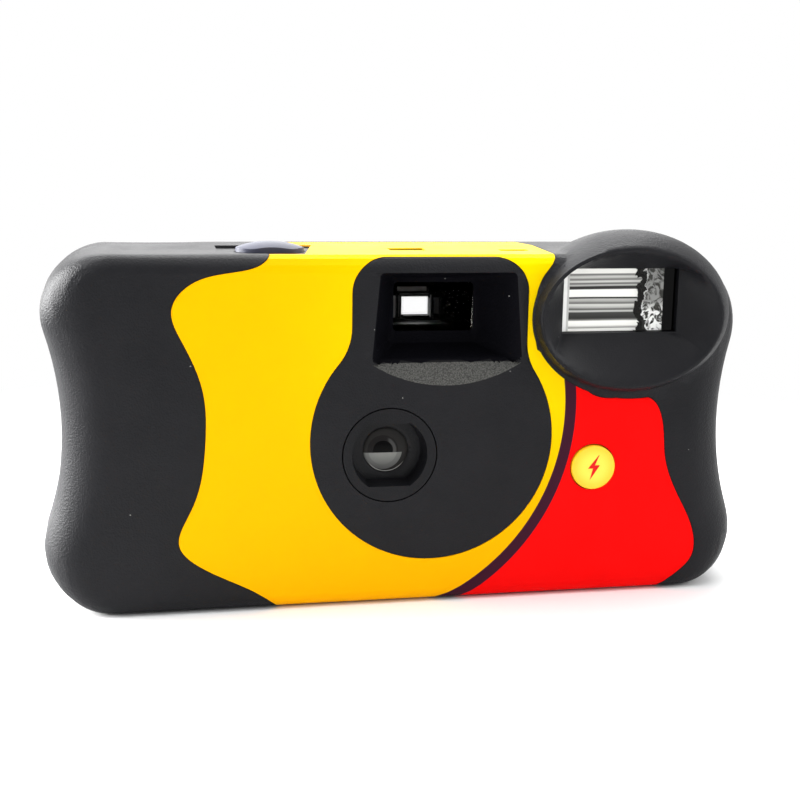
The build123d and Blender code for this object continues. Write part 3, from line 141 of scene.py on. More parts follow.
def maths(tree, operation, a, b=0.0, clamp=False):
    """One Math node; returns its output."""
    return place(tree, "ShaderNodeMath", {"operation": operation, "use_clamp": clamp}, i0=a, i1=b).outputs[0]


def ramp(tree, value, low, high, to_low=0.0, to_high=1.0):
    """Maps a value between two limits on to two results, smoothly and clamped."""
    made = place(tree, "ShaderNodeMapRange", {"interpolation_type": "SMOOTHSTEP"},
                 **{"Value": value, "From Min": low, "From Max": high, "To Min": to_low, "To Max": to_high})
    return made.outputs["Result"]


def blend_colour(tree, share, first, second):
    """Mixes two colours by a share."""
    made = place(tree, "ShaderNodeMix", {"data_type": "RGBA"}, i0=share, i6=first, i7=second)
    return made.outputs[2]


def span(tree, value, low, high, soft):
    """One between two limits and nought outside them, with soft ends."""
    rise = ramp(tree, value, low - soft, low + soft)
    return maths(tree, "MULTIPLY", rise, ramp(tree, value, high - soft, high + soft, 1.0, 0.0))


def effect(name, inputs, outputs):
    """Starts a shared effect's node group; returns its tree, its input node and its output node."""
    tree = bpy.data.node_groups.new(name, "ShaderNodeTree")
    for label, value in inputs.items():
        kind = "NodeSocketVector" if value is None else "NodeSocketFloat"
        socket = tree.interface.new_socket(label, in_out="INPUT", socket_type=kind)
        if value is not None:
            socket.default_value = value
    for label in outputs:
        tree.interface.new_socket(label, in_out="OUTPUT", socket_type="NodeSocketFloat")
    return tree, tree.nodes.new("NodeGroupInput"), tree.nodes.new("NodeGroupOutput")


def use(tree, group, **inputs):
    """Places a shared effect in a material and returns its outputs."""
    made = place(tree, "ShaderNodeGroup", {"node_tree": group})
    for label, value in inputs.items():
        socket = made.inputs[label.replace("_", " ")]
        if isinstance(value, bpy.types.NodeSocket):
            tree.links.new(value, socket)
        else:
            socket.default_value = value
    return made.outputs


# Shared effects

def build_grain():
    """The fine pebble of a spark-eroded mould: rounded cells with a finer noise over them."""
    settings = {"Vector": None, "Cell Size mm": 0.3, "Fineness": 0.35}
    tree, given, result = effect("mould_grain", settings, ["Height"])
    scale = maths(tree, "DIVIDE", 1.0 / MM, given.outputs["Cell Size mm"])
    cells = place(tree, "ShaderNodeTexVoronoi", {"feature": "SMOOTH_F1"}, Vector=given.outputs["Vector"],
                  Scale=scale, Smoothness=0.6)
    fine = place(tree, "ShaderNodeTexNoise", None, Vector=given.outputs["Vector"],
                 Scale=maths(tree, "MULTIPLY", scale, 2.6), Detail=2.0)
    pebble = ramp(tree, cells.outputs["Distance"], 0.1, 0.75, 1.0, 0.0)
    over = maths(tree, "MULTIPLY", fine.outputs["Fac"], given.outputs["Fineness"])
    tree.links.new(maths(tree, "ADD", pebble, over), result.inputs["Height"])
    return tree


def build_mottle():
    """Slow, faint unevenness of a moulded or printed surface, between 0 and 1."""
    tree, given, result = effect("mottle", {"Vector": None, "Patch mm": 8.0, "Contrast": 1.0}, ["Share"])
    scale = maths(tree, "DIVIDE", 1.0 / MM, given.outputs["Patch mm"])
    noise = place(tree, "ShaderNodeTexNoise", None, Vector=given.outputs["Vector"], Scale=scale, Detail=4.0,
                  Roughness=0.6)
    centred = maths(tree, "SUBTRACT", noise.outputs["Fac"], 0.5)
    spread = maths(tree, "MULTIPLY", centred, given.outputs["Contrast"])
    share = maths(tree, "ADD", maths(tree, "MULTIPLY", spread, 2.2), 0.5, True)
    tree.links.new(share, result.inputs["Share"])
    return tree


def build_dust():
    """Sparse pale specks of uneven outline, as settle on dark plastic."""
    tree, given, result = effect("settled_dust", {"Vector": None, "Spacing mm": 1.6, "Amount": 0.1}, ["Mask"])
    scale = maths(tree, "DIVIDE", 1.0 / MM, given.outputs["Spacing mm"])
    bent = place(tree, "ShaderNodeTexNoise", None, Vector=given.outputs["Vector"], Scale=900.0)
    push = place(tree, "ShaderNodeVectorMath", {"operation": "MULTIPLY_ADD"}, i0=bent.outputs["Color"],
                 i1=(0.3 * MM,) * 3, i2=given.outputs["Vector"])
    spots = place(tree, "ShaderNodeTexVoronoi", None, Vector=push.outputs[0], Scale=scale)
    pick = place(tree, "ShaderNodeSeparateColor", None, Color=spots.outputs["Color"])
    size = maths(tree, "MULTIPLY", pick.outputs["Green"], 0.075)
    near = maths(tree, "LESS_THAN", spots.outputs["Distance"], size)
    chosen = maths(tree, "LESS_THAN", pick.outputs["Red"], given.outputs["Amount"])
    faint = maths(tree, "MULTIPLY", pick.outputs["Blue"], 0.8)
    shown = maths(tree, "MULTIPLY", near, chosen)
    tree.links.new(maths(tree, "MULTIPLY", shown, faint), result.inputs["Mask"])
    return tree


GRAIN = build_grain()
MOTTLE = build_mottle()
DUST = build_dust()


# Finishes

def start(name, **inputs):
    """A material with its shader's own values set; returns it, its tree, shader and object coordinates."""
    made = bpy.data.materials.new(name)
    made.use_nodes = True
    tree = made.node_tree
    shader = tree.nodes["Principled BSDF"]
    for label, value in inputs.items():
        shader.inputs[label.replace("_", " ")].default_value = value
    where = tree.nodes.new("ShaderNodeTexCoord").outputs["Object"]
    return made, tree, shader, where


def raise_surface(tree, shader, height, depth_mm):
    """Bumps a shader's surface by a height."""
    bump = place(tree, "ShaderNodeBump", None, Height=height, Strength=1.0, Distance=depth_mm * MM)
    tree.links.new(bump.outputs["Normal"], shader.inputs["Normal"])


def moulding(name, dark, light, rough, cell, depth, specular, dust=0.0):
    """Moulded plastic: two close tones, a grain, uneven gloss and, where asked, settled dust."""
    made, tree, shader, where = start(name, Specular_IOR_Level=specular)
    share = use(tree, MOTTLE, Vector=where, Patch_mm=9.0)["Share"]
    tone = blend_colour(tree, share, (*dark, 1.0), (*light, 1.0))
    height = use(tree, GRAIN, Vector=where, Cell_Size_mm=cell)["Height"]
    gloss = ramp(tree, share, 0.0, 1.0, rough[0], rough[1])
    if dust:
        mask = use(tree, DUST, Vector=where, Amount=dust)["Mask"]
        tone = blend_colour(tree, mask, tone, PLAIN_DUST)
    tree.links.new(tone, shader.inputs["Base Color"])
    tree.links.new(gloss, shader.inputs["Roughness"])
    raise_surface(tree, shader, height, depth)
    return made


def flat_distance(tree, where, x, z):
    """The distance in metres across the XZ plane from a place in millimetres, and the split coordinates."""
    parts = place(tree, "ShaderNodeSeparateXYZ", None, Vector=where)
    flat = place(tree, "ShaderNodeCombineXYZ", None, X=parts.outputs["X"], Z=parts.outputs["Z"])
    made = place(tree, "ShaderNodeVectorMath", {"operation": "DISTANCE"}, i0=flat.outputs[0],
                 i1=(x * MM, 0.0, z * MM))
    return made.outputs["Value"], parts.outputs


def inside(tree, parts, zone):
    """One inside a box named by its sides and its depths behind the face, and nought outside it."""
    limits = (("GREATER_THAN", "X", zone["left"]), ("LESS_THAN", "X", zone["right"]),
              ("GREATER_THAN", "Z", zone["low"]), ("LESS_THAN", "Z", zone["high"]),
              ("GREATER_THAN", "Y", FACE_Y + zone["near"]), ("LESS_THAN", "Y", FACE_Y + zone["far"]))
    share = 1.0
    for side, axis, limit in limits:
        share = maths(tree, "MULTIPLY", share, maths(tree, side, parts[axis], limit * MM))
    return share


def build_case_black():
    """The covers' black: pebbled, smoother in the flash bowl, greyer on the chin from speckle and painted
    light, and deepest in the hood as painted shade.
    """
    made, tree, shader, where = start("case_black", Specular_IOR_Level=0.14)
    parts = place(tree, "ShaderNodeSeparateXYZ", None, Vector=where).outputs
    across = maths(tree, "DIVIDE", maths(tree, "SUBTRACT", parts["X"], BOWL["x"] * MM), BOWL["half_x"] * MM)
    up = maths(tree, "DIVIDE", maths(tree, "SUBTRACT", parts["Z"], BOWL["z"] * MM), BOWL["half_z"] * MM)
    squares = maths(tree, "ADD", maths(tree, "MULTIPLY", across, across), maths(tree, "MULTIPLY", up, up))
    reach = maths(tree, "SQRT", squares)
    in_front = maths(tree, "LESS_THAN", parts["Y"], (FACE_Y + 6.0) * MM)
    bowl = maths(tree, "MULTIPLY", ramp(tree, reach, 0.97, 1.03, 1.0, 0.0), in_front)
    share = use(tree, MOTTLE, Vector=where, Patch_mm=11.0)["Share"]
    height = use(tree, GRAIN, Vector=where, Cell_Size_mm=0.32, Fineness=0.4)["Height"]
    tone = blend_colour(tree, share, CASE_DEEP, CASE_PALE)
    # The chin: a speckled grey grain, painted lighter as painted light from above
    chin = inside(tree, parts, {**CHIN, "high": HOOD["low"]})
    fine = place(tree, "ShaderNodeTexNoise", None, Vector=where, Scale=5200.0, Detail=2.0).outputs["Fac"]
    speckle_and_painted_light = blend_colour(tree, ramp(tree, fine, 0.36, 0.66), CHIN_PAINTED_LIT_DEEP, CHIN_PAINTED_LIT_PALE)
    tone = blend_colour(tree, chin, tone, speckle_and_painted_light)
    # Painted shade: the hood's inside darkest
    tone = blend_colour(tree, inside(tree, parts, HOOD), tone, HOOD_PAINTED_SHADE)
    mask = use(tree, DUST, Vector=where, Amount=0.14)["Mask"]
    tone = blend_colour(tree, mask, tone, CASE_DUST)
    calm = maths(tree, "SUBTRACT", 1.0, maths(tree, "MULTIPLY", bowl, 0.75))
    gloss = ramp(tree, share, 0.0, 1.0, 0.42, 0.52)
    tree.links.new(tone, shader.inputs["Base Color"])
    gloss = maths(tree, "SUBTRACT", gloss, maths(tree, "MULTIPLY", bowl, 0.05))
    tree.links.new(gloss, shader.inputs["Roughness"])
    raise_surface(tree, shader, maths(tree, "MULTIPLY", height, calm), 0.03)
    return made


def build_label_print():
    """The wrap's print: a yellow field, lighter to the upper right as painted light, and a red field with one
    plum arc between them, under a thin glaze.
    """
    made, tree, shader, where = start("label_print", Specular_IOR_Level=0.02)
    distance, parts = flat_distance(tree, where, STRIPE["x"], STRIPE["z"])
    side = maths(tree, "MULTIPLY", maths(tree, "GREATER_THAN", parts["X"], 0.0),
                 maths(tree, "LESS_THAN", parts["Z"], STRIPE["top"] * MM))
    past_inner, past_outer = [
        maths(tree, "MULTIPLY", side,
              ramp(tree, distance, (STRIPE[edge] - 0.05) * MM, (STRIPE[edge] + 0.05) * MM))
        for edge in ("inner", "outer")]
    share = use(tree, MOTTLE, Vector=where, Patch_mm=14.0, Contrast=0.6)["Share"]
    # Painted light: the yellow lighter towards the upper right
    painted_light_share = maths(tree, "MULTIPLY", *[ramp(tree, parts[axis.upper()], low * MM, high * MM)
                                            for axis, (low, high) in PAINTED_LIGHT_SPAN.items()])
    yellow = blend_colour(tree, painted_light_share, YELLOW_PAINTED_SHADE, YELLOW_PAINTED_LIGHT)
    yellow = blend_colour(tree, maths(tree, "MULTIPLY", share, 0.25), yellow, YELLOW_MOTTLE)
    red = blend_colour(tree, share, RED_DEEP, RED_BRIGHT)
    tone = blend_colour(tree, past_inner, yellow, PLUM)
    tone = blend_colour(tree, past_outer, tone, red)
    tree.links.new(tone, shader.inputs["Base Color"])
    tree.links.new(ramp(tree, share, 0.0, 1.0, 0.32, 0.4), shader.inputs["Roughness"])
    fibre = place(tree, "ShaderNodeTexNoise", None, Vector=where, Scale=2600.0, Detail=3.0).outputs["Fac"]
    raise_surface(tree, shader, fibre, 0.004)
    return made


def build_lens_glass():
    """The taking lens: dark coated glass, painted with a dark pupil, a pale reflection in its lower half,
    left of its middle, a pale crescent and a glint.
    """
    made, tree, shader, where = start("coated_lens", Roughness=0.06, Specular_IOR_Level=0.05)
    distance, parts = flat_distance(tree, where, LENS["reflection_x"], LENS["z"])
    from_middle = flat_distance(tree, where, LENS["x"], LENS["z"])[0]
    across = maths(tree, "SUBTRACT", parts["X"], LENS["reflection_x"] * MM)
    under = ramp(tree, parts["Z"], (LENS["z"] - 0.4) * MM, (LENS["z"] - 0.32) * MM, 1.0, 0.0)
    bowl = maths(tree, "MULTIPLY", under, ramp(tree, distance, 3.15 * MM, 3.25 * MM, 1.0, 0.0))
    inner = ramp(tree, distance, 2.3 * MM, 2.45 * MM, 1.0, 0.55)
    fade = maths(tree, "MULTIPLY", ramp(tree, parts["Z"], (LENS["z"] - 3.4) * MM, LENS["z"] * MM), inner)
    # Painted shade: a black pupil
    painted_pupil = ramp(tree, distance, 1.6 * MM, 1.7 * MM, 1.0, 0.0)
    tone = blend_colour(tree, ramp(tree, distance, 2.5 * MM, 2.6 * MM), (0.014, 0.013, 0.013, 1.0),
                        (0.024, 0.023, 0.022, 1.0))
    tone = blend_colour(tree, painted_pupil, tone, (0.0008, 0.0008, 0.001, 1.0))
    # Painted reflection: a pale image in the lower half
    painted_reflection = blend_colour(tree, fade, (0.10, 0.10, 0.098, 1.0), (0.25, 0.255, 0.24, 1.0))
    tone = blend_colour(tree, bowl, tone, painted_reflection)
    # Painted reflection: a pale crescent under the rim, low down
    rim = span(tree, from_middle, 3.46 * MM, 3.58 * MM, 0.04 * MM)
    low = ramp(tree, parts["Z"], (LENS["z"] - 2.9) * MM, (LENS["z"] - 1.8) * MM, 1.0, 0.0)
    tone = blend_colour(tree, maths(tree, "MULTIPLY", low, rim), tone, (0.40, 0.40, 0.38, 1.0))
    # Painted glint to the upper right, in a ring round the pupil
    glint_ring = maths(tree, "MULTIPLY", ramp(tree, distance, 1.6 * MM, 1.8 * MM),
                 ramp(tree, distance, 2.1 * MM, 2.4 * MM, 1.0, 0.0))
    glow = maths(tree, "MULTIPLY", ramp(tree, across, 0.6 * MM, 1.3 * MM), glint_ring)
    glow = maths(tree, "MULTIPLY", glow, maths(tree, "SUBTRACT", 1.0, under))
    tone = blend_colour(tree, maths(tree, "MULTIPLY", glow, 0.7), tone, (0.09, 0.09, 0.088, 1.0))
    tree.links.new(tone, shader.inputs["Base Color"])
    return made


def build_tunnel():
    """The finder's tunnel: dead black as painted shade, with painted glints round the eyepiece for the pale
    edges that its lenses show.
    """
    made, tree, shader, where = start("tunnel_black", Specular_IOR_Level=0.0, Roughness=0.9)
    parts = place(tree, "ShaderNodeSeparateXYZ", None, Vector=where).outputs
    tone = (0.0, 0.0, 0.0, 1.0)
    end = maths(tree, "GREATER_THAN", parts["Y"], (FACE_Y + EYEHOLE["depth"] - 0.05) * MM)
    # Painted glints on the end wall round the eyehole
    for left, right, low, high, level in EYE_GLINTS:
        wide = span(tree, parts["X"], left * MM, right * MM, 0.08 * MM)
        tall = span(tree, parts["Z"], low * MM, high * MM, 0.1 * MM)
        glint = maths(tree, "MULTIPLY", end, maths(tree, "MULTIPLY", wide, tall))
        tone = blend_colour(tree, glint, tone, (level, level, level, 1.0))
    tree.links.new(tone, shader.inputs["Base Color"])
    return made


def build_flash_glass():
    """The flash window's glass: painted reflections of its reflector in long bright and dark bands and a
    crumpled zone, and a black right end as painted shade.
    """
    made, tree, shader, where = start("flash_glass", Transmission_Weight=0.35, IOR=1.2, Metallic=0.0,
                                      Roughness=0.05)
    parts = place(tree, "ShaderNodeSeparateXYZ", None, Vector=where).outputs
    drawn = place(tree, "ShaderNodeMapping", None, Vector=where, Scale=(60.0, 0.0, 300.0)).outputs[0]
    bend = place(tree, "ShaderNodeTexNoise", None, Vector=drawn, Scale=1.0, Detail=1.0).outputs["Fac"]
    rise = maths(tree, "DIVIDE", maths(tree, "SUBTRACT", parts["Z"], FLASH["low"] * MM), FLASH["height"] * MM)
    rise = maths(tree, "ADD", rise, maths(tree, "MULTIPLY", maths(tree, "SUBTRACT", bend, 0.5), 0.03))
    reflection_bands = place(tree, "ShaderNodeValToRGB", None, Fac=rise)
    for _ in range(len(REFLECTION_BAND_SHARES) - 2):
        reflection_bands.color_ramp.elements.new(0.5)
    for stop, (share, level) in zip(reflection_bands.color_ramp.elements, REFLECTION_BAND_SHARES):
        stop.position = share
        stop.color = (level, level, 0.96 * level, 1.0)
    crumple = place(tree, "ShaderNodeTexNoise", None, Vector=where, Scale=420.0, Detail=4.0, Distortion=1.2)
    wander = maths(tree, "MULTIPLY", maths(tree, "SUBTRACT", crumple.outputs["Fac"], 0.5), 4.0 * MM)
    along = maths(tree, "ADD", parts["X"], wander)
    begun = ramp(tree, parts["X"], (FLASH["left"] - 0.05) * MM, (FLASH["left"] + 0.05) * MM)
    ended = ramp(tree, along, (FLASH["tube_end"] - 0.1) * MM, (FLASH["tube_end"] + 0.1) * MM, 1.0, 0.0)
    tone = blend_colour(tree, maths(tree, "MULTIPLY", begun, ended), (0.97, 0.98, 0.96, 1.0),
                        reflection_bands.outputs["Color"])
    edge = maths(tree, "MULTIPLY",
                 ramp(tree, parts["X"], (FLASH["left"] + 0.1) * MM, (FLASH["left"] - 0.1) * MM),
                 ramp(tree, parts["X"], (FLASH["left"] - 0.5) * MM, (FLASH["left"] - 0.2) * MM))
    tone = blend_colour(tree, maths(tree, "MULTIPLY", edge, 0.6), tone, (0.25, 0.25, 0.24, 1.0))
    # Painted reflection: a dark zone between the tube's end and the crease
    dark = maths(tree, "MULTIPLY", ramp(tree, along, (FLASH["tube_end"] - 0.2) * MM, FLASH["tube_end"] * MM),
                 ramp(tree, along, (FLASH["crease"] - 0.1) * MM, (FLASH["crease"] + 0.1) * MM, 1.0, 0.0))
    tone = blend_colour(tree, dark, tone, (0.012, 0.012, 0.011, 1.0))
    # Painted reflection: crumpled dark facets past the crease
    facets = place(tree, "ShaderNodeTexNoise", None, Vector=where, Scale=650.0, Detail=5.0, Distortion=2.0)
    past = ramp(tree, along, FLASH["crease"] * MM, (FLASH["crease"] + 0.2) * MM)
    creased = maths(tree, "MULTIPLY", past, ramp(tree, facets.outputs["Fac"], 0.42, 0.58))
    tone = blend_colour(tree, creased, tone, (0.035, 0.035, 0.03, 1.0))
    upper = maths(tree, "MULTIPLY", past, ramp(tree, rise, 0.3, 0.5, 0.0, 0.72))
    tone = blend_colour(tree, upper, tone, (0.06, 0.06, 0.055, 1.0))
    # Painted shade: black at the right end
    painted_shade_end = ramp(tree, parts["X"], (FLASH["right"] + 0.15) * MM, (FLASH["right"] + 0.25) * MM)
    tone = blend_colour(tree, painted_shade_end, tone, (0.0, 0.0, 0.0, 1.0))
    tree.links.new(tone, shader.inputs["Base Color"])
    # Painted glow: the window's painted colour also shines faintly, though it is no lamp
    tree.links.new(tone, shader.inputs["Emission Color"])
    shader.inputs["Emission Strength"].default_value = 0.18
    return made


def clear(name, tint, rough=0.02, ior=1.49, specular=0.5, alpha=1.0):
    """Clear moulded plastic or glass with faint flow marks."""
    made, tree, shader, where = start(name, Transmission_Weight=1.0, IOR=ior, Metallic=0.0,
                                      Specular_IOR_Level=specular, Alpha=alpha)
    share = use(tree, MOTTLE, Vector=where, Patch_mm=3.0)["Share"]
    shades = blend_colour(tree, share, (*[c * 0.97 for c in tint], 1.0), (*tint, 1.0))
    tree.links.new(shades, shader.inputs["Base Color"])
    tree.links.new(ramp(tree, share, 0.0, 1.0, rough, rough * 2.0), shader.inputs["Roughness"])
    return made


def metal(name, tone, rough=(0.2, 0.32), stretch=(1.0, 1.0, 1.0), scratch_mm=0.25, depth=0.003):
    """Bright or brushed metal, with fine lines that may run along one axis."""
    made, tree, shader, where = start(name)
    lines = place(tree, "ShaderNodeMapping", None, Vector=where, Scale=stretch).outputs[0]
    streak = place(tree, "ShaderNodeTexNoise", None, Vector=lines, Scale=1.0 / (scratch_mm * MM), Detail=3.0)
    share = use(tree, MOTTLE, Vector=where, Patch_mm=5.0)["Share"]
    shade = blend_colour(tree, share, (*[c * 0.88 for c in tone], 1.0), (*tone, 1.0))
    tree.links.new(shade, shader.inputs["Base Color"])
    shader.inputs["Metallic"].default_value = 1.0
    gloss = ramp(tree, streak.outputs["Fac"], 0.3, 0.7, rough[0], rough[1])
    tree.links.new(gloss, shader.inputs["Roughness"])
    raise_surface(tree, shader, streak.outputs["Fac"], depth)
    return made


def build_board():
    """Green lacquer over copper tracks on a board."""
    made, tree, shader, where = start("board_green", Roughness=0.35)
    tracks = place(tree, "ShaderNodeTexBrick", None, Vector=where, Scale=240.0, **{"Mortar Size": 0.05})
    tone = blend_colour(tree, tracks.outputs["Fac"], (0.02, 0.10, 0.04, 1.0), (0.05, 0.19, 0.07, 1.0))
    tree.links.new(tone, shader.inputs["Base Color"])
    raise_surface(tree, shader, tracks.outputs["Fac"], 0.02)
    return made


def build_copper():
    """Fine enamelled wire, wound round an upright axis."""
    made, tree, shader, where = start("copper_winding", Metallic=0.8)
    turns = place(tree, "ShaderNodeTexWave", {"bands_direction": "Z"}, Vector=where, Scale=900.0)
    tone = blend_colour(tree, turns.outputs["Fac"], (0.25, 0.07, 0.02, 1.0), (0.6, 0.22, 0.07, 1.0))
    tree.links.new(tone, shader.inputs["Base Color"])
    tree.links.new(ramp(tree, turns.outputs["Fac"], 0.0, 1.0, 0.45, 0.25), shader.inputs["Roughness"])
    raise_surface(tree, shader, turns.outputs["Fac"], 0.03)
    return made


def build_charge_key():
    """The charge key's yellow, a little deeper towards its rim."""
    made, tree, shader, where = start("charge_yellow", Specular_IOR_Level=0.4)
    distance, _ = flat_distance(tree, where, KEY["x"], KEY["z"])
    rim = ramp(tree, distance, 0.4 * KEY["radius"] * MM, KEY["radius"] * MM)
    share = use(tree, MOTTLE, Vector=where, Patch_mm=3.0)["Share"]
    tone = blend_colour(tree, rim, (0.93, 0.72, 0.06, 1.0), (0.90, 0.55, 0.01, 1.0))
    tree.links.new(tone, shader.inputs["Base Color"])
    tree.links.new(ramp(tree, share, 0.0, 1.0, 0.3, 0.4), shader.inputs["Roughness"])
    height = use(tree, GRAIN, Vector=where, Cell_Size_mm=0.25, Fineness=0.3)["Height"]
    raise_surface(tree, shader, height, 0.006)
    return made


FINISHES = {
    "case_black": build_case_black(),
    "inner_black": moulding("inner_black", (0.0042, 0.0043, 0.0052), (0.0075, 0.0076, 0.009),
                            rough=(0.32, 0.44), cell=0.25, depth=0.012, specular=0.14, dust=0.08),
    "label_print": build_label_print(),
    "button_blue": moulding("button_blue", (0.066, 0.069, 0.100), (0.080, 0.083, 0.118),
                            rough=(0.36, 0.42), cell=0.22, depth=0.004, specular=0.2),
    "clear_plastic": clear("clear_plastic", (0.97, 0.98, 0.98)),
    "dial_white": moulding("dial_white", (0.66, 0.66, 0.62), (0.74, 0.74, 0.70),
                           rough=(0.35, 0.45), cell=0.2, depth=0.006, specular=0.5),
    "film_base": moulding("film_base", (0.035, 0.018, 0.012), (0.06, 0.03, 0.02),
                          rough=(0.16, 0.24), cell=0.6, depth=0.001, specular=0.5),
    "cartridge_skin": moulding("cartridge_skin", (0.55, 0.55, 0.52), (0.62, 0.62, 0.59),
                               rough=(0.3, 0.4), cell=0.5, depth=0.003, specular=0.5),
    "spring_steel": metal("spring_steel", (0.55, 0.55, 0.56)),
    "reflector_bright": metal("reflector_bright", (0.95, 0.95, 0.93), rough=(0.3, 0.4),
                              stretch=(0.06, 1.0, 1.0), scratch_mm=0.5, depth=0.004),
    "board_green": build_board(),
    "can_sleeve": moulding("can_sleeve", (0.012, 0.014, 0.035), (0.02, 0.022, 0.05),
                           rough=(0.2, 0.3), cell=0.8, depth=0.004, specular=0.5),
    "coil_copper": build_copper(),
    "charge_yellow": build_charge_key(),
    "cell_steel": metal("cell_steel", (0.32, 0.34, 0.38), rough=(0.25, 0.35)),
    "neon_glass": clear("lamp_glass", (0.99, 0.95, 0.9), rough=0.03, ior=1.47),
}
BOLT_RED = moulding("bolt_red", (0.62, 0.003, 0.003), (0.72, 0.006, 0.005),
                    rough=(0.3, 0.4), cell=0.3, depth=0.002, specular=0.15)
TUNNEL_BLACK = build_tunnel()
# The hood's inside: a darker, duller black as painted shade
HOOD_SHADE_BLACK = moulding("hood_painted_shade", (0.0016, 0.0016, 0.0026), (0.0026, 0.0026, 0.004),
                      rough=(0.6, 0.7), cell=0.3, depth=0.02, specular=0.03, dust=0.1)
# Clear plastic tinted almost black, so that the counter and ready windows show dark
DARK_WINDOW = clear("dark_window_plastic", (0.02, 0.02, 0.02))
FINDER_GLASS = clear("coated_finder_glass", (0.97, 0.98, 0.98), rough=0.01, ior=1.12, specular=0.05,
                     alpha=0.1)
LENS_GLASS = build_lens_glass()
FLASH_GLASS = build_flash_glass()

SLOT_OF = {entry["node"]: entry["material_slot"] for entry in frame["record"]["subparts"]}


def dress(target, *finishes):
    """Gives an object its finishes, in place of any that it has."""
    target.data.materials.clear()
    for finish in finishes:
        target.data.materials.append(finish)


for name, node in NODES.items():
    dress(node, FINISHES[SLOT_OF[name]])


# Pieces

def settle(source, name):
    """Bakes an object's modifiers into a plain mesh on a new object and removes the old one."""
    graph = bpy.context.evaluated_depsgraph_get()
    mesh = bpy.data.meshes.new_from_object(source.evaluated_get(graph))
    mesh.name = name
    made = bpy.data.objects.new(name, mesh)
    bpy.context.scene.collection.objects.link(made)
    bpy.data.objects.remove(source)
    return made


def within(spot, zone):
    """Whether a spot in metres lies in a box named by its sides and its depths behind the face."""
    return (zone["left"] < spot.x / MM < zone["right"] and zone["low"] < spot.z / MM < zone["high"]
            and zone["near"] < spot.y / MM - FACE_Y < zone["far"])


def skin_of(node, bevel=0.0, finish=None, zone=None, zone_finish=None):
    """A joined, smoothly shaded copy of a solid that stands for it, with its edges eased if asked."""
    source = bpy.data.objects.new(node + "_work", NODES[node].data.copy())
    bpy.context.scene.collection.objects.link(source)
    shape = bmesh.new()
    shape.from_mesh(source.data)
    bmesh.ops.remove_doubles(shape, verts=shape.verts, dist=JOIN_MM * MM)
    if bevel:
        bmesh.ops.dissolve_limit(shape, angle_limit=radians(FLAT_DEGREES), verts=shape.verts,
                                 edges=shape.edges)
    shape.to_mesh(source.data)
    shape.free()
    dress(source, finish or FINISHES[SLOT_OF[node]])
    if zone:
        source.data.materials.append(zone_finish)
        for face in source.data.polygons:
            face.material_index = 1 if within(face.center, zone) else 0
    source.data.shade_smooth()
    if bevel:
        ease = source.modifiers.new("ease", "BEVEL")
        ease.width = bevel * MM
        ease.segments = BEVEL_SEGMENTS
        ease.limit_method = "ANGLE"
        ease.angle_limit = radians(BEVEL_DEGREES)
        ease.harden_normals = False
    level = source.modifiers.new("level", "WEIGHTED_NORMAL")
    level.keep_sharp = True
    level.weight = FACE_WEIGHT
    source.data.set_sharp_from_angle(angle=radians(SMOOTH_DEGREES))
    made = settle(source, node + "_skin")
    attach(made, BODY_OF[node])
    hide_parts(node)


def new_piece(name, shape, finish, body, smooth=0.0):
    """Turns a built shape into a finished piece that rides on a body."""
    bmesh.ops.recalc_face_normals(shape, faces=shape.faces)
    mesh = bpy.data.meshes.new(name)
    shape.to_mesh(mesh)
    shape.free()
    made = bpy.data.objects.new(name, mesh)
    bpy.context.scene.collection.objects.link(made)
    dress(made, finish)
    if smooth:
        mesh.shade_smooth()
        mesh.set_sharp_from_angle(angle=radians(smooth))
    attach(made, body)
    return made


def at(x, depth, z):
    """A place in metres from X, the depth behind the face and Z in millimetres."""
    return Vector((x * MM, (FACE_Y + depth) * MM, z * MM))


def add_bolt():
    """A thin printed bolt on the face of the charge key."""
    shape = bmesh.new()
    near = -KEY["proud"] - BOLT_RAISE
    outline = [shape.verts.new(at(KEY["x"] + KEY["radius"] * x, near, KEY["z"] + KEY["radius"] * z))
               for x, z in BOLT_SHARES]
    face = shape.faces.new(outline)
    moved = bmesh.ops.extrude_face_region(shape, geom=[face])["geom"]
    corners = [part for part in moved if isinstance(part, bmesh.types.BMVert)]
    bmesh.ops.translate(shape, verts=corners, vec=(0.0, 2 * BOLT_RAISE * MM, 0.0))
    bmesh.ops.triangulate(shape, faces=shape.faces)
    new_piece("charge_bolt", shape, BOLT_RED, BODY_OF["flash_button"])


def add_lens_dome():
    """The bulged front of the taking lens with a thin edge, turned round the lens axis."""
    shape = bmesh.new()
    profile = [(LENS["rim"] * sin(pi / 2 * k / DOME_RINGS), -LENS["dome"] * cos(pi / 2 * k / DOME_RINGS))
               for k in range(DOME_RINGS + 1)]
    profile += [(LENS["rim"], LENS["edge"]), (0.0, LENS["edge"])]
    turns = [2 * pi * k / DOME_STEPS for k in range(DOME_STEPS)]
    loops = []
    for radius, depth in profile:
        around = turns if radius else turns[:1]
        loops.append([shape.verts.new(at(LENS["x"] + radius * cos(turn), LENS["rim_depth"] + depth,
                                         LENS["z"] + radius * sin(turn))) for turn in around])
    for first, second in zip(loops, loops[1:]):
        for k in range(DOME_STEPS):
            corners = [first[k % len(first)], first[(k + 1) % len(first)],
                       second[(k + 1) % len(second)], second[k % len(second)]]
            shape.faces.new(list(dict.fromkeys(corners)))
    made = new_piece("taking_lens_glass", shape, LENS_GLASS, BODY_OF["taking_lens"], 40.0)
    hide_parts("taking_lens")


def rectangle(shape, hole, grow=0.0, further=0.0):
    """The four corners of a named rectangle across the line of sight."""
    return [shape.verts.new(at(hole["x"] + side_x * (hole["half_x"] + grow), hole["depth"] + further,
                               hole["z"] + side_z * (hole["half_z"] + grow)))
            for side_x, side_z in ((-1, -1), (1, -1), (1, 1), (-1, 1))]


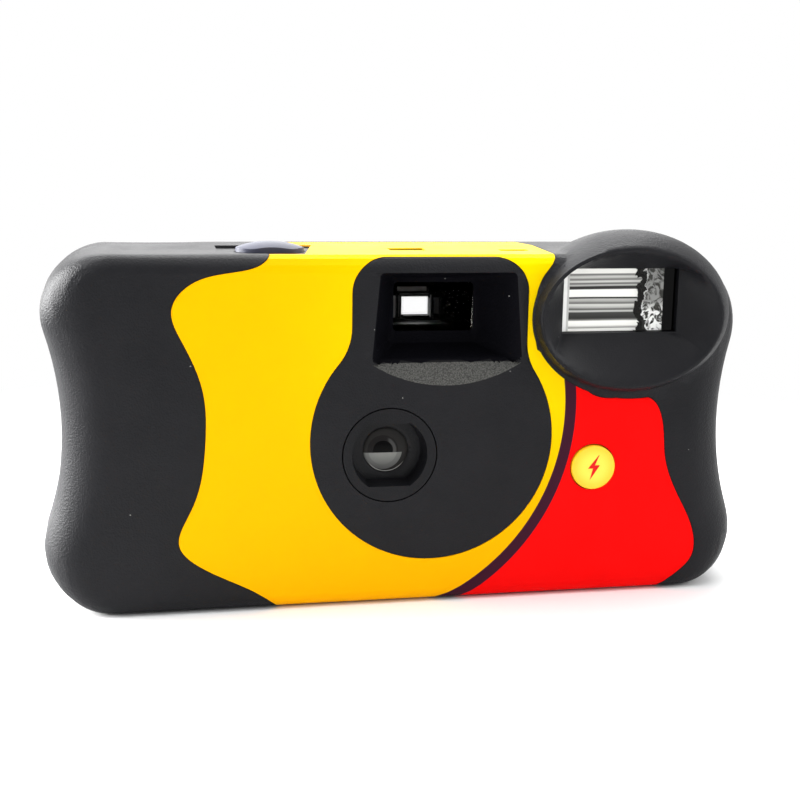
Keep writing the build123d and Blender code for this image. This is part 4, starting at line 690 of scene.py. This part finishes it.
def add_finder_tunnel():
    """The dark tunnel between the finder's lenses, narrowing to a mask with the eyepiece's window."""
    shape = bmesh.new()
    rings = [rectangle(shape, TUNNEL, TUNNEL_WALL), rectangle(shape, TUNNEL), rectangle(shape, EYEPIECE),
             rectangle(shape, EYEHOLE), rectangle(shape, EYEHOLE, 0.0, TUNNEL_WALL),
             rectangle(shape, EYEPIECE, TUNNEL_WALL, TUNNEL_WALL)]
    for first, second in zip(rings, rings[1:] + rings[:1]):
        for k in range(4):
            shape.faces.new((first[k], first[(k + 1) % 4], second[(k + 1) % 4], second[k]))
    new_piece("finder_tunnel", shape, TUNNEL_BLACK, BODY_OF["main_frame"])


# The hood's faces take the darker black, as painted shade
skin_of("front_cover", zone=HOOD, zone_finish=HOOD_SHADE_BLACK)
skin_of("back_cover")
skin_of("film_door")
skin_of("label")
skin_of("lens_retainer", bevel=0.1)
skin_of("flash_lens", finish=FLASH_GLASS)
skin_of("viewfinder_front_lens", finish=FINDER_GLASS)
skin_of("viewfinder_rear_lens", finish=FINDER_GLASS)
skin_of("counter_window", finish=DARK_WINDOW)
skin_of("ready_window", finish=DARK_WINDOW)
for node in ("thumbwheel", "shutter_button", "flash_reflector", "flash_tube", "flash_button", "ready_lamp",
             "counter_dial"):
    skin_of(node)
add_bolt()
add_lens_dome()
add_finder_tunnel()


# Camera, light and floor

def add_camera():
    """The camera that took the photograph, fitted to its outline."""
    lens = bpy.data.cameras.new("camera")
    lens.sensor_width = CAMERA["sensor"]
    lens.lens = CAMERA["lens"]
    lens.clip_start = CAMERA_CLIP
    camera = bpy.data.objects.new("camera", lens)
    camera.location = [value * MM for value in CAMERA["place"]]
    camera.rotation_euler = [radians(value) for value in CAMERA["turn"]]
    bpy.context.scene.collection.objects.link(camera)
    bpy.context.scene.camera = camera


def add_lamps():
    """Broad lamps that aren't seen through glass."""
    for name, where, size, power, aim in LAMPS:
        lamp = bpy.data.lights.new(name, "AREA")
        lamp.size = size
        lamp.energy = power
        lamp_object = bpy.data.objects.new(name, lamp)
        lamp_object.location = where
        lamp_object.visible_transmission = False
        lamp_object.rotation_euler = (Vector(aim) - Vector(where)).to_track_quat("-Z", "Y").to_euler()
        bpy.context.scene.collection.objects.link(lamp_object)


def sees_surround(tree):
    """One for the rays that see the plain white surround: straight, reflected and through glass."""
    path = tree.nodes.new("ShaderNodeLightPath").outputs
    seen = maths(tree, "MAXIMUM", path["Is Camera Ray"], path["Is Glossy Ray"])
    return maths(tree, "MAXIMUM", seen, path["Is Transmission Ray"])


def add_surround():
    """A world that is white where it is seen and softer as light."""
    world = bpy.data.worlds.new("surround")
    world.use_nodes = True
    bpy.context.scene.world = world
    tree = world.node_tree
    tree.nodes.clear()
    white = place(tree, "ShaderNodeBackground", None, Color=WHITE, Strength=1.0)
    soft = place(tree, "ShaderNodeBackground", None, Color=SOFT_WHITE, Strength=SOFT_STRENGTH)
    mixed = place(tree, "ShaderNodeMixShader", None, i0=sees_surround(tree), i1=soft.outputs[0],
                  i2=white.outputs[0])
    tree.links.new(mixed.outputs[0], tree.nodes.new("ShaderNodeOutputWorld").inputs["Surface"])


def add_floor():
    """A pale floor that keeps the shadow near the object and fades into the white surround."""
    shape = bmesh.new()
    bmesh.ops.create_circle(shape, cap_ends=True, segments=96, radius=FLOOR_RADIUS)
    mesh = bpy.data.meshes.new("floor")
    shape.to_mesh(mesh)
    shape.free()
    floor = bpy.data.objects.new("floor", mesh)
    bpy.context.scene.collection.objects.link(floor)
    pale, tree, shader, where = start("pale_floor", Roughness=0.6, Specular_IOR_Level=0.2)
    share = use(tree, MOTTLE, Vector=where, Patch_mm=60.0, Contrast=0.5)["Share"]
    tree.links.new(blend_colour(tree, share, (0.90, 0.90, 0.895, 1.0), (0.93, 0.93, 0.925, 1.0)),
                   shader.inputs["Base Color"])
    away = place(tree, "ShaderNodeVectorMath", {"operation": "LENGTH"}, i0=where).outputs["Value"]
    faded = maths(tree, "MULTIPLY", sees_surround(tree), ramp(tree, away, *FLOOR_FADE))
    glow = place(tree, "ShaderNodeEmission", None, Color=WHITE, Strength=1.0)
    both = place(tree, "ShaderNodeMixShader", None, i0=faded, i1=shader.outputs[0], i2=glow.outputs[0])
    tree.links.new(both.outputs[0], tree.nodes["Material Output"].inputs["Surface"])
    dress(floor, pale)


add_camera()
add_lamps()
add_surround()
add_floor()
bpy.context.scene.view_settings.view_transform = "Standard"
